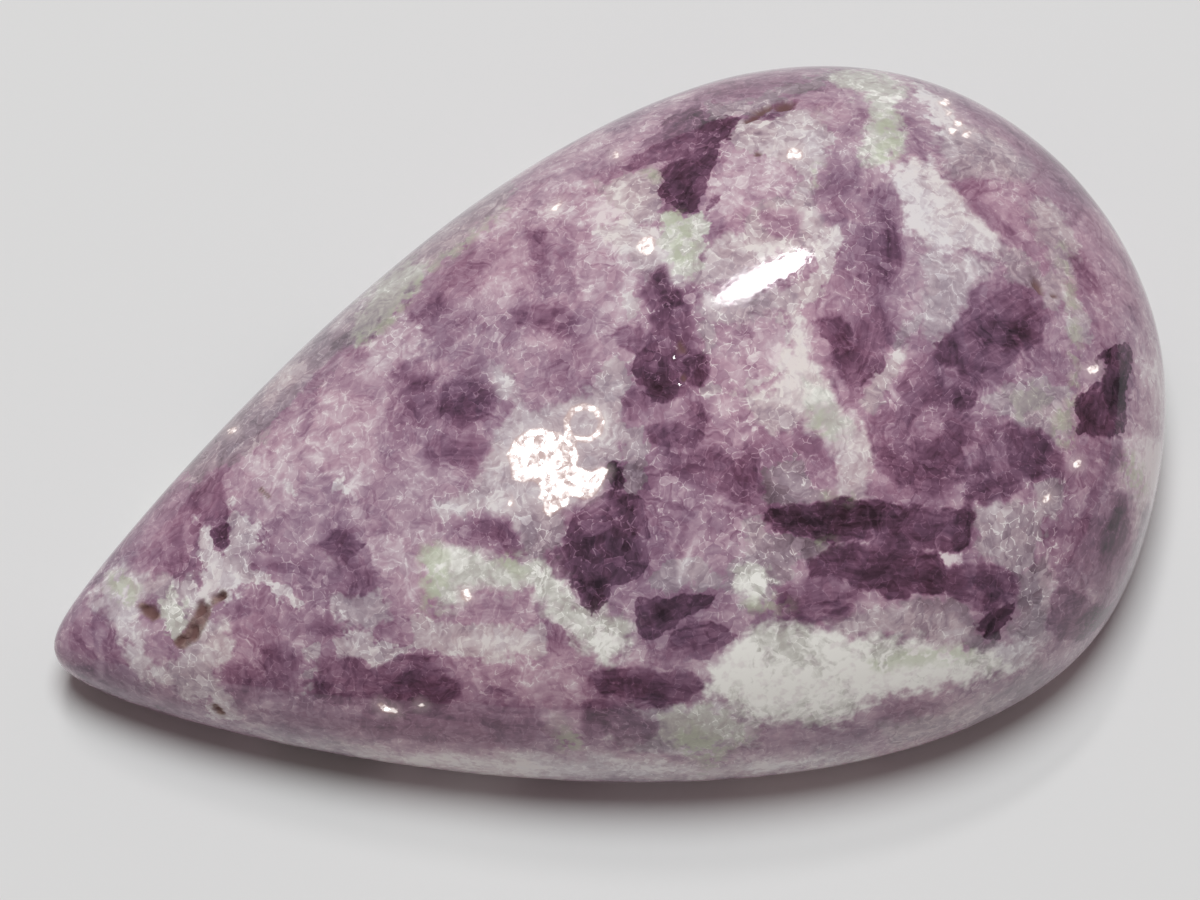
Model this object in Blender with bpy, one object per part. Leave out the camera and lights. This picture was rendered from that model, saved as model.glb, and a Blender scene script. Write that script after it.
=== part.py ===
"""A polished pear-shaped drop of lepidolite, lying on its flat back.

+X runs from the tip to the round end, +Z is up, and the origin is under the middle of the drop on the
plane that it lies on. Lengths are in metres.
"""

import math

import bmesh
import bpy
from mathutils import Matrix, Vector

MM = 0.001

# Driving dimensions of the cut stone
LENGTH = 45.0 * MM
WIDTH = 27.8 * MM
GIRDLE_HEIGHT = 2.8 * MM  # the widest outline, above the plane that the stone lies on
CROWN_HEIGHT = 9.7 * MM  # from the girdle to the top of the dome
BACK_INSET_SIDE = 2.5 * MM  # the girdle overhangs the flat back by this much at the sides
BACK_INSET_TIP = 3.5 * MM

# How round the stone is
TIP_BLUNTNESS = 0.306  # 0 would be a sharp point
FLANK_FULLNESS = -0.245
SECTION_POWER = 2.3  # 2 is an ellipse, and more has squarer shoulders
CROWN_POWER = 0.75  # how much slower the crown drops towards the ends than the outline narrows

# Where the hand that ground it left the outline
TIP_LEAN = 0.46 * MM
TIP_LEAN_POWER = 8
# (depth, direction from the round end's centre in degrees, spread in degrees); a negative depth is a bulge
GRINDING_MARKS = [
    (-0.30 * MM, -62, 16),
    (0.11 * MM, -30, 14),
    (-0.23 * MM, 48, 22),
]

# Vugs that the polish left open:
# (name, place in plan, half length, half width, depth, turn in plan in degrees)
VUGS = [
    ("tip_vug", (-18.60 * MM, -0.31 * MM), 0.46 * MM, 0.27 * MM, 0.40 * MM, -54),
    ("stained_vug_end", (-17.82 * MM, -1.78 * MM), 0.30 * MM, 0.20 * MM, 0.25 * MM, 10),
    ("stained_vug_low", (-17.22 * MM, -1.72 * MM), 0.42 * MM, 0.24 * MM, 0.35 * MM, 60),
    ("stained_vug_middle", (-16.76 * MM, -1.08 * MM), 0.44 * MM, 0.26 * MM, 0.45 * MM, 45),
    ("stained_vug_high", (-15.90 * MM, -0.93 * MM), 0.32 * MM, 0.24 * MM, 0.50 * MM, 0),
    ("round_end_vug", (17.38 * MM, -0.32 * MM), 0.40 * MM, 0.22 * MM, 0.35 * MM, -57),
    ("middle_vug", (3.41 * MM, 1.28 * MM), 0.30 * MM, 0.19 * MM, 0.30 * MM, -80),
    ("crevice_near", (9.45 * MM, 9.98 * MM), 0.45 * MM, 0.16 * MM, 0.25 * MM, 20),
    ("crevice_middle", (10.05 * MM, 10.22 * MM), 0.50 * MM, 0.18 * MM, 0.30 * MM, 8),
    ("crevice_far", (10.80 * MM, 10.15 * MM), 0.50 * MM, 0.22 * MM, 0.30 * MM, -15),
]

# Facets along each side of the cube that the surface is spread over
CELLS = 24
# Polar angles on the sphere, from the top, where the girdle and the edge of the back lie
GIRDLE_ANGLE = math.radians(108)
BACK_ANGLE = math.radians(138)

HALF_WIDTH = WIDTH / 2
ROUND_CENTRE = LENGTH - HALF_WIDTH  # from the tip to the centre of the round end
CENTRE_X = ROUND_CENTRE - LENGTH / 2
FAN_X = 3.0 * MM  # the facets fan out from here
FLAT = 1e-9  # a face this close to the plane of the back is part of it


def half_width(station):
    """Half the outline's width at a distance from the tip: a quartic flank, then an arc."""
    share = min(station / ROUND_CENTRE, 1.0)
    squared = (
        TIP_BLUNTNESS * share
        + (3 - 2 * TIP_BLUNTNESS + FLANK_FULLNESS) * share**2
        + (TIP_BLUNTNESS - 2 - 2 * FLANK_FULLNESS) * share**3
        + FLANK_FULLNESS * share**4
    )
    past = max(0.0, (station - ROUND_CENTRE) / HALF_WIDTH)
    return HALF_WIDTH * math.sqrt(max(0.0, squared - past**2))


def crown(x, y):
    """Height of the dome over a point inside the outline."""
    wide = half_width(x + LENGTH / 2)
    if wide <= 0:
        return GIRDLE_HEIGHT
    ridge = CROWN_HEIGHT * (wide / HALF_WIDTH) ** CROWN_POWER
    across = min(1.0, abs(y) / wide)
    return GIRDLE_HEIGHT + ridge * (1 - across**SECTION_POWER) ** (1 / SECTION_POWER)


def as_ground(x, y):
    """Moves a point of the ideal outline to where the hand-ground stone has it."""
    reach = Vector((x - CENTRE_X, y))
    turn = math.degrees(math.atan2(y, x - CENTRE_X))
    near_rim = min(1.0, reach.length / HALF_WIDTH) ** 2
    scale = 1.0
    for depth, direction, spread in GRINDING_MARKS:
        off = (turn - direction + 180) % 360 - 180
        scale -= depth / HALF_WIDTH * near_rim * math.exp(-((off / spread) ** 2))
    before = max(0.0, 1 - (x + LENGTH / 2) / ROUND_CENTRE)
    return CENTRE_X + reach.x * scale, reach.y * scale + TIP_LEAN * before**TIP_LEAN_POWER


def outline_point(turn):
    """A point of the ideal outline, for a turn of the sphere about Z."""
    station = LENGTH * (1 + math.cos(turn)) / 2
    return station - LENGTH / 2, math.copysign(half_width(station), math.sin(turn))


def on_stone(direction):
    """Where a unit direction of the sphere lands on the surface of the stone."""
    rim_x, rim_y = outline_point(math.atan2(direction.y, direction.x))
    polar = math.acos(max(-1.0, min(1.0, direction.z)))
    if polar <= GIRDLE_ANGLE:
        out = math.sin(polar / GIRDLE_ANGLE * math.pi / 2)
        x = FAN_X + (rim_x - FAN_X) * out
        y = rim_y * out
        height = crown(x, y)
    else:
        under = min(1.0, (polar - GIRDLE_ANGLE) / (BACK_ANGLE - GIRDLE_ANGLE)) * math.pi / 2
        inward = max(0.0, (polar - BACK_ANGLE) / (math.pi - BACK_ANGLE))
        inset = 1 - math.cos(under)
        x = FAN_X + (rim_x - FAN_X) * (1 - BACK_INSET_TIP / ROUND_CENTRE * inset) * (1 - inward)
        y = rim_y * (1 - BACK_INSET_SIDE / HALF_WIDTH * inset) * (1 - inward)
        height = GIRDLE_HEIGHT * (1 - math.sin(under))
    x, y = as_ground(x, y)
    return Vector((x, y, height))


def sphere_direction(corner):
    """A unit direction for a point of the cube, with the cells of its faces evened out."""
    return Vector([math.tan(part * math.pi / 4) for part in corner]).normalized()


def new_object(name, mesh):
    obj = bpy.data.objects.new(name, mesh)
    bpy.context.scene.collection.objects.link(obj)
    return obj


def polished_lepidolite():
    material = bpy.data.materials.new("polished_lepidolite")
    material.use_nodes = True
    shader = material.node_tree.nodes["Principled BSDF"]
    shader.inputs["Base Color"].default_value = (0.32, 0.18, 0.29, 1)
    shader.inputs["Roughness"].default_value = 0.16
    shader.inputs["Metallic"].default_value = 0.0
    return material


def drop(material):
    """The whole stone as one closed surface."""
    cube = bmesh.new()
    bmesh.ops.create_cube(cube, size=2)
    bmesh.ops.subdivide_edges(cube, edges=cube.edges[:], cuts=CELLS - 1, use_grid_fill=True)
    for vert in cube.verts:
        vert.co = on_stone(sphere_direction(vert.co))
    flat_back = [face for face in cube.faces if max(vert.co.z for vert in face.verts) < FLAT]
    bmesh.ops.dissolve_faces(cube, faces=flat_back, use_verts=True)
    bmesh.ops.recalc_face_normals(cube, faces=cube.faces[:])
    mesh = bpy.data.meshes.new("lepidolite_drop")
    cube.to_mesh(mesh)
    cube.free()
    mesh.materials.append(material)
    mesh.shade_smooth()
    return new_object("lepidolite_drop", mesh)


def outward(x, y):
    """The dome's normal over a point in plan."""
    step = 0.1 * MM
    slope_x = (crown(x + step, y) - crown(x - step, y)) / (2 * step)
    slope_y = (crown(x, y + step) - crown(x, y - step)) / (2 * step)
    return Vector((-slope_x, -slope_y, 1)).normalized()


def vug_cutter(name, place, half_long, half_wide, depth, turn):
    """An egg-shaped cutter, lying along the surface, that bites its depth into the dome."""
    normal = outward(*place)
    heading = Vector((math.cos(math.radians(turn)), math.sin(math.radians(turn)), 0))
    along = (heading - normal * heading.dot(normal)).normalized()
    axes = Matrix((along, normal.cross(along), normal)).transposed().to_4x4()
    shape = bmesh.new()
    bmesh.ops.create_icosphere(shape, subdivisions=2, radius=1)
    shape.transform(axes @ Matrix.Diagonal((half_long, half_wide, depth, 1)))
    mesh = bpy.data.meshes.new(name)
    shape.to_mesh(mesh)
    shape.free()
    cutter = new_object(name, mesh)
    cutter.location = (*as_ground(*place), crown(*place))
    cutter.hide_render = True
    cutter.display_type = "WIRE"
    return cutter


def open_vugs(stone):
    for vug in VUGS:
        cut = stone.modifiers.new(vug[0], "BOOLEAN")
        cut.operation = "DIFFERENCE"
        cut.object = vug_cutter(*vug)


def main():
    for obj in list(bpy.data.objects):
        bpy.data.objects.remove(obj)
    open_vugs(drop(polished_lepidolite()))


main()
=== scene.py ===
import itertools
import math

import bpy
import numpy as np
from mathutils import Matrix, Vector


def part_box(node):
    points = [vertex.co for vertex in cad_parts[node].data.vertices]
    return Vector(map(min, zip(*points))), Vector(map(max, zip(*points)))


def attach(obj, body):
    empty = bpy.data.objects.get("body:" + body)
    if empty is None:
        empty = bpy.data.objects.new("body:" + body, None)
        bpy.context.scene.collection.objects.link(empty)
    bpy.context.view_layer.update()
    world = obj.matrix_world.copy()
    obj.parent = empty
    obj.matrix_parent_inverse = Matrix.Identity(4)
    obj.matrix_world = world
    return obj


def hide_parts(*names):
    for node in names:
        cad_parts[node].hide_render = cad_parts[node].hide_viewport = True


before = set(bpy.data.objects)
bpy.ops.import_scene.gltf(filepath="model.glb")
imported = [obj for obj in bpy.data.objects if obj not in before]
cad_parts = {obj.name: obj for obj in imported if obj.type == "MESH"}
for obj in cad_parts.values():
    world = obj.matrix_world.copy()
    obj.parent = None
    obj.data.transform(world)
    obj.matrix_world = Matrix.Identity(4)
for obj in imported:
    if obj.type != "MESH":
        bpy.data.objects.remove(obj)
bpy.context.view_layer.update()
low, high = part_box("lepidolite_drop")
print("frame loaded, the solid is", [round(1000 * (b - a), 1) for a, b in zip(low, high)], "mm")

mm = 1e-3

# the cut of the stone, metres; its length, width and height are the solid's
stone = dict(
    length=high[0] - low[0],
    width=high[1] - low[1],
    girdleHeight=2.8 * mm,
    crownHeight=high[2] - low[2] - 2.8 * mm,
    sideInset=2.5 * mm,
    tipInset=3.5 * mm,
    tipBluntness=0.306,
    flankFullness=-0.245,
    sectionPower=2.3,
    crownPower=0.75,
    fanCentre=3.0 * mm,
    girdleAngle=math.radians(125),  # where the girdle and the flat back's edge lie on the stretched ball
    backAngle=math.radians(150),
    cells=126,  # quads along each side of that ball
)

# what the hand that ground it left: lean of the tip, and depth, direction and spread of each flat or bulge
grinding = dict(
    tipLean=0.46 * mm,
    tipLeanPower=8,
    marks=[(-0.30 * mm, -62, 16), (0.11 * mm, -30, 14), (-0.23 * mm, 48, 22)],
    waviness=[(5.0 * mm, 0.020 * mm, 20), (1.6 * mm, 0.006 * mm, 21)],  # (length, height, seed) of the polish
    plumWear=0.006 * mm,  # the dark books are softer, and the polish took this much more of them
    backMargin=0.4 * mm,  # up to this height the waves and pits fade in
)

# the camera, as the photograph was taken; pixels are those of the 1200 x 900 picture
camera = dict(
    elevation=72,
    azimuth=-19.21,
    distance=0.235,
    focalPixels=5991.6,
    sensor=36.0,
    target=(0.0, 0.0, 2.8 * mm),
    targetPixel=(606.1, 484.3),
    frameSize=(1200, 900),
)
pixelsPerMm = camera["focalPixels"] / camera["distance"] * mm


def cameraAxes():
    turn, rise = math.radians(camera["azimuth"]), math.radians(camera["elevation"])
    back = np.array([math.sin(turn) * math.cos(rise), -math.cos(turn) * math.cos(rise), math.sin(rise)])
    right = np.array([math.cos(turn), math.sin(turn), 0.0])
    up = np.cross(back, right)
    perPixel = camera["distance"] / camera["focalPixels"]
    offRight = (camera["frameSize"][0] / 2 - camera["targetPixel"][0]) * perPixel
    offUp = (camera["targetPixel"][1] - camera["frameSize"][1] / 2) * perPixel
    eye = np.array(camera["target"]) + back * camera["distance"] + right * offRight + up * offUp
    return right, up, back, eye


def photoPixels(points):
    right, up, back, eye = cameraAxes()
    away = points - eye
    depth = -(away @ back)
    across = camera["frameSize"][0] / 2 + camera["focalPixels"] * (away @ right) / depth
    down = camera["frameSize"][1] / 2 - camera["focalPixels"] * (away @ up) / depth
    return across, down, depth


# node helpers, for both kinds of tree
def feed(tree, socket, value):
    if isinstance(value, bpy.types.NodeSocket):
        tree.links.new(value, socket)
    elif value is not None:
        socket.default_value = value


def calc(tree, operation, *values):
    node = tree.nodes.new("ShaderNodeMath")
    node.operation = operation
    for socket, value in zip(node.inputs, values):
        feed(tree, socket, value)
    return node.outputs[0]


def vectorCalc(tree, operation, *values, output=0):
    node = tree.nodes.new("ShaderNodeVectorMath")
    node.operation = operation
    for socket, value in zip(node.inputs, values):
        feed(tree, socket, value)
    return node.outputs[output]


# the three parts of a vector or a colour
def apart(tree, kind, value):
    node = tree.nodes.new(kind)
    feed(tree, node.inputs[0], value)
    return node.outputs


def openGroup(name, kind, inputs, outputs):
    tree = bpy.data.node_groups.new(name, kind)
    for label, socketType in inputs:
        tree.interface.new_socket(label, in_out="INPUT", socket_type=socketType)
    for label, socketType in outputs:
        tree.interface.new_socket(label, in_out="OUTPUT", socket_type=socketType)
    return tree, tree.nodes.new("NodeGroupInput").outputs, tree.nodes.new("NodeGroupOutput").inputs


def useGroup(tree, group, **values):
    node = tree.nodes.new("GeometryNodeGroup" if tree.type == "GEOMETRY" else "ShaderNodeGroup")
    node.node_tree = group
    for label, value in values.items():
        feed(tree, node.inputs[label], value)
    return node.outputs


number = "NodeSocketFloat"
leastReach = 1e-7  # metres; the drop's half width is never taken as less, so that it can divide


# half the drop's width at a distance from its tip: a quartic flank, then the arc of the round end
def pearWidthGroup():
    inputs = [(label, number) for label in ("Station", "Length", "Half Width", "Bluntness", "Fullness")]
    tree, given, result = openGroup("pearWidth", "GeometryNodeTree", inputs, [("Reach", number)])
    halfWidth, blunt, full = given["Half Width"], given["Bluntness"], given["Fullness"]
    roundCentre = calc(tree, "SUBTRACT", given["Length"], halfWidth)
    share = calc(tree, "MINIMUM", calc(tree, "DIVIDE", given["Station"], roundCentre), 1.0)
    square = calc(tree, "ADD", calc(tree, "MULTIPLY_ADD", blunt, -2.0, 3.0), full)
    cube = calc(tree, "SUBTRACT", calc(tree, "SUBTRACT", blunt, 2.0), calc(tree, "MULTIPLY", full, 2.0))
    total = full
    for factor in (cube, square, blunt, 0.0):
        total = calc(tree, "MULTIPLY_ADD", total, share, factor)
    beyond = calc(tree, "SUBTRACT", given["Station"], roundCentre)
    past = calc(tree, "MAXIMUM", 0.0, calc(tree, "DIVIDE", beyond, halfWidth))
    left = calc(tree, "MAXIMUM", 0.0, calc(tree, "SUBTRACT", total, calc(tree, "MULTIPLY", past, past)))
    feed(tree, result["Reach"], calc(tree, "MULTIPLY", halfWidth, calc(tree, "SQRT", left)))
    return tree


dropSizes = [
    ("Length", "length"), ("Width", "width"), ("Girdle Height", "girdleHeight"),
    ("Crown Height", "crownHeight"), ("Side Inset", "sideInset"), ("Tip Inset", "tipInset"),
    ("Bluntness", "tipBluntness"), ("Fullness", "flankFullness"), ("Section Power", "sectionPower"),
    ("Crown Power", "crownPower"), ("Fan Centre", "fanCentre"), ("Girdle Angle", "girdleAngle"),
    ("Back Angle", "backAngle"),
]


# a cube of quads, blown up to a ball and stretched over the drop: dome, girdle and flat back
def dropBodyTree():
    pearWidth = pearWidthGroup()
    inputs = [(label, number) for label, _ in dropSizes]
    inputs += [("Cells", "NodeSocketInt"), ("Finish", "NodeSocketMaterial")]
    outputs = [("Stone", "NodeSocketGeometry")]
    tree, given, result = openGroup("lepidoliteDrop", "GeometryNodeTree", inputs, outputs)

    def reachAt(station):
        return useGroup(tree, pearWidth, **{
            "Station": station, "Length": given["Length"], "Half Width": halfWidth,
            "Bluntness": given["Bluntness"], "Fullness": given["Fullness"]})["Reach"]

    halfLength = calc(tree, "MULTIPLY", given["Length"], 0.5)
    halfWidth = calc(tree, "MULTIPLY", given["Width"], 0.5)
    fan = given["Fan Centre"]

    cube = tree.nodes.new("GeometryNodeMeshCube")
    cube.inputs["Size"].default_value = (2, 2, 2)
    for label in ("Vertices X", "Vertices Y", "Vertices Z"):
        feed(tree, cube.inputs[label], calc(tree, "ADD", given["Cells"], 1.0))

    # the quads are evened out across each face before the cube becomes a ball
    corner = tree.nodes.new("GeometryNodeInputPosition").outputs[0]
    evened = vectorCalc(tree, "TANGENT", vectorCalc(tree, "SCALE", corner, None, None, math.pi / 4))
    ballX, ballY, ballZ = apart(tree, "ShaderNodeSeparateXYZ", vectorCalc(tree, "NORMALIZE", evened))
    polar = calc(tree, "ARCCOSINE", calc(tree, "MINIMUM", 1.0, calc(tree, "MAXIMUM", -1.0, ballZ)))
    turn = calc(tree, "ARCTAN2", ballY, ballX)

    rimX = calc(tree, "MULTIPLY", halfLength, calc(tree, "COSINE", turn))
    rimY = calc(tree, "MULTIPLY", calc(tree, "SIGN", ballY), reachAt(calc(tree, "ADD", rimX, halfLength)))
    rimFromFan = calc(tree, "SUBTRACT", rimX, fan)

    # the dome, above the girdle
    climb = calc(tree, "MINIMUM", 1.0, calc(tree, "DIVIDE", polar, given["Girdle Angle"]))
    out = calc(tree, "SINE", calc(tree, "MULTIPLY", climb, math.pi / 2))
    domeX = calc(tree, "MULTIPLY_ADD", rimFromFan, out, fan)
    domeY = calc(tree, "MULTIPLY", rimY, out)
    wide = calc(tree, "MAXIMUM", reachAt(calc(tree, "ADD", domeX, halfLength)), leastReach)
    across = calc(tree, "MINIMUM", 1.0, calc(tree, "DIVIDE", calc(tree, "ABSOLUTE", domeY), wide))
    ridge = calc(tree, "POWER", calc(tree, "DIVIDE", wide, halfWidth), given["Crown Power"])
    fall = calc(tree, "SUBTRACT", 1.0, calc(tree, "POWER", across, given["Section Power"]))
    shoulder = calc(tree, "POWER", fall, calc(tree, "DIVIDE", 1.0, given["Section Power"]))
    crown = calc(tree, "MULTIPLY", calc(tree, "MULTIPLY", given["Crown Height"], ridge), shoulder)
    domeZ = calc(tree, "ADD", crown, given["Girdle Height"])

    # below the girdle: it rounds under, then the flat back closes it
    band = calc(tree, "SUBTRACT", given["Back Angle"], given["Girdle Angle"])
    under = calc(tree, "DIVIDE", calc(tree, "SUBTRACT", polar, given["Girdle Angle"]), band)
    under = calc(tree, "MULTIPLY", calc(tree, "MINIMUM", 1.0, calc(tree, "MAXIMUM", 0.0, under)), math.pi / 2)
    flat = calc(tree, "SUBTRACT", math.pi, given["Back Angle"])
    kept = calc(tree, "MINIMUM", 1.0, calc(tree, "DIVIDE", calc(tree, "SUBTRACT", math.pi, polar), flat))
    inset = calc(tree, "SUBTRACT", 1.0, calc(tree, "COSINE", under))
    tipShare = calc(tree, "DIVIDE", given["Tip Inset"], calc(tree, "SUBTRACT", given["Length"], halfWidth))
    sideShare = calc(tree, "DIVIDE", given["Side Inset"], halfWidth)
    shrinkX = calc(tree, "SUBTRACT", 1.0, calc(tree, "MULTIPLY", inset, tipShare))
    shrinkY = calc(tree, "SUBTRACT", 1.0, calc(tree, "MULTIPLY", inset, sideShare))
    lowX = calc(tree, "MULTIPLY_ADD", calc(tree, "MULTIPLY", rimFromFan, shrinkX), kept, fan)
    lowY = calc(tree, "MULTIPLY", calc(tree, "MULTIPLY", rimY, shrinkY), kept)
    sunk = calc(tree, "SUBTRACT", 1.0, calc(tree, "SINE", under))
    lowZ = calc(tree, "MULTIPLY", given["Girdle Height"], sunk)

    isUnder = calc(tree, "GREATER_THAN", polar, given["Girdle Angle"])
    place = tree.nodes.new("ShaderNodeCombineXYZ")
    for axis, (above, below) in enumerate([(domeX, lowX), (domeY, lowY), (domeZ, lowZ)]):
        drop = calc(tree, "SUBTRACT", below, above)
        feed(tree, place.inputs[axis], calc(tree, "MULTIPLY_ADD", isUnder, drop, above))

    keepPolar = tree.nodes.new("GeometryNodeStoreNamedAttribute")
    keepPolar.data_type, keepPolar.domain = "FLOAT", "POINT"
    keepPolar.inputs["Name"].default_value = "polar"
    feed(tree, keepPolar.inputs["Value"], polar)
    tree.links.new(cube.outputs["Mesh"], keepPolar.inputs["Geometry"])
    move = tree.nodes.new("GeometryNodeSetPosition")
    tree.links.new(keepPolar.outputs[0], move.inputs["Geometry"])
    tree.links.new(place.outputs[0], move.inputs["Position"])
    real = tree.nodes.new("GeometryNodeRealizeInstances")
    tree.links.new(move.outputs[0], real.inputs[0])
    dress = tree.nodes.new("GeometryNodeSetMaterial")
    tree.links.new(real.outputs[0], dress.inputs["Geometry"])
    tree.links.new(given["Finish"], dress.inputs["Material"])
    tree.links.new(dress.outputs[0], result["Stone"])
    return tree


def makeDrop(finish):
    tree = dropBodyTree()
    carrier = bpy.data.objects.new("lepidoliteCarrier", bpy.data.meshes.new("lepidoliteCarrier"))
    bpy.context.scene.collection.objects.link(carrier)
    build = carrier.modifiers.new("body", "NODES")
    build.node_group = tree
    sockets = {s.name: s.identifier for s in tree.interface.items_tree if s.in_out == "INPUT"}
    for label, key in dropSizes:
        build[sockets[label]] = float(stone[key])
    build[sockets["Cells"]] = stone["cells"]
    build[sockets["Finish"]] = finish
    graph = bpy.context.evaluated_depsgraph_get()
    mesh = bpy.data.meshes.new_from_object(carrier.evaluated_get(graph))
    bare = carrier.data
    bpy.data.objects.remove(carrier)
    bpy.data.meshes.remove(bare)
    mesh.name = "lepidoliteStone"
    piece = bpy.data.objects.new("lepidoliteStone", mesh)
    bpy.context.scene.collection.objects.link(piece)
    return piece


def readVectors(items, name):
    flatList = np.empty(len(items) * 3)
    items.foreach_get(name, flatList)
    return flatList.reshape(-1, 3)


def readPoints(mesh):
    return readVectors(mesh.vertices, "co")


def writePoints(mesh, points):
    mesh.vertices.foreach_set("co", points.ravel())
    mesh.update()


def aboveGirdle(points):
    return points[:, 2] > stone["girdleHeight"]


def eased(value, start, end):
    share = np.clip((value - start) / (end - start), 0, 1)
    return share * share * (3 - 2 * share)


# the random tables have this many cells each way, and the shift keeps every place in them positive
noiseCells = 32
noiseShift = 400.0


# a smooth random value from -1 to 1 that changes over about size metres
def lumps(points, size, seed):
    table = np.random.default_rng(seed).uniform(-1, 1, (noiseCells,) * 3)
    place = points / size + noiseShift
    cell = np.floor(place).astype(int)
    part = eased(place - cell, 0, 1)
    total = np.zeros(len(points))
    for step in itertools.product((0, 1), repeat=3):
        weight = np.prod(np.abs(1 - np.array(step) - part), axis=1)
        total += weight * table[tuple(((cell + step) % noiseCells).T)]
    return total


# rough cells: a value from -1 to 1 for each, and how far a point is from the next cell, in cell widths
def bookCells(points, size, seed):
    dice = np.random.default_rng(seed)
    jitter, shades = dice.uniform(0, 1, (noiseCells,) * 3 + (3,)), dice.uniform(-1, 1, (noiseCells,) * 3)
    place = points / size + noiseShift
    home = np.floor(place).astype(int)
    first, second = np.full(len(points), np.inf), np.full(len(points), np.inf)
    shade = np.zeros(len(points))
    for step in itertools.product((-1, 0, 1), repeat=3):
        cell = home + step
        key = tuple((cell % noiseCells).T)
        reach = np.linalg.norm(cell + jitter[key] - place, axis=1)
        nearer = reach < first
        second = np.where(nearer, first, np.minimum(second, reach))
        shade = np.where(nearer, shades[key], shade)
        first = np.where(nearer, reach, first)
    return shade, second - first


# the points pushed about, so that what is laid on them bends and curls
def stirred(points, size, reach, seed):
    push = [lumps(points, size, seed + axis) for axis in range(3)]
    return points + reach * np.column_stack(push)


# lean, flats and bulges in the outline
def grindByHand(points):
    halfWidth = stone["width"] / 2
    roundCentre = stone["length"] - halfWidth
    centreX = roundCentre - stone["length"] / 2
    awayX, awayY = points[:, 0] - centreX, points[:, 1]
    turn = np.degrees(np.arctan2(awayY, awayX))
    reach = np.minimum(1, np.hypot(awayX, awayY) / halfWidth) ** 2
    scale = np.ones(len(points))
    for depth, direction, spread in grinding["marks"]:
        off = (turn - direction + 180) % 360 - 180
        scale -= depth / halfWidth * np.exp(-((off / spread) ** 2)) * reach
    before = np.clip(1 - (points[:, 0] + stone["length"] / 2) / roundCentre, 0, 1)
    lean = grinding["tipLean"] * before ** grinding["tipLeanPower"]
    return np.column_stack([centreX + awayX * scale, awayY * scale + lean, points[:, 2]])


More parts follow.
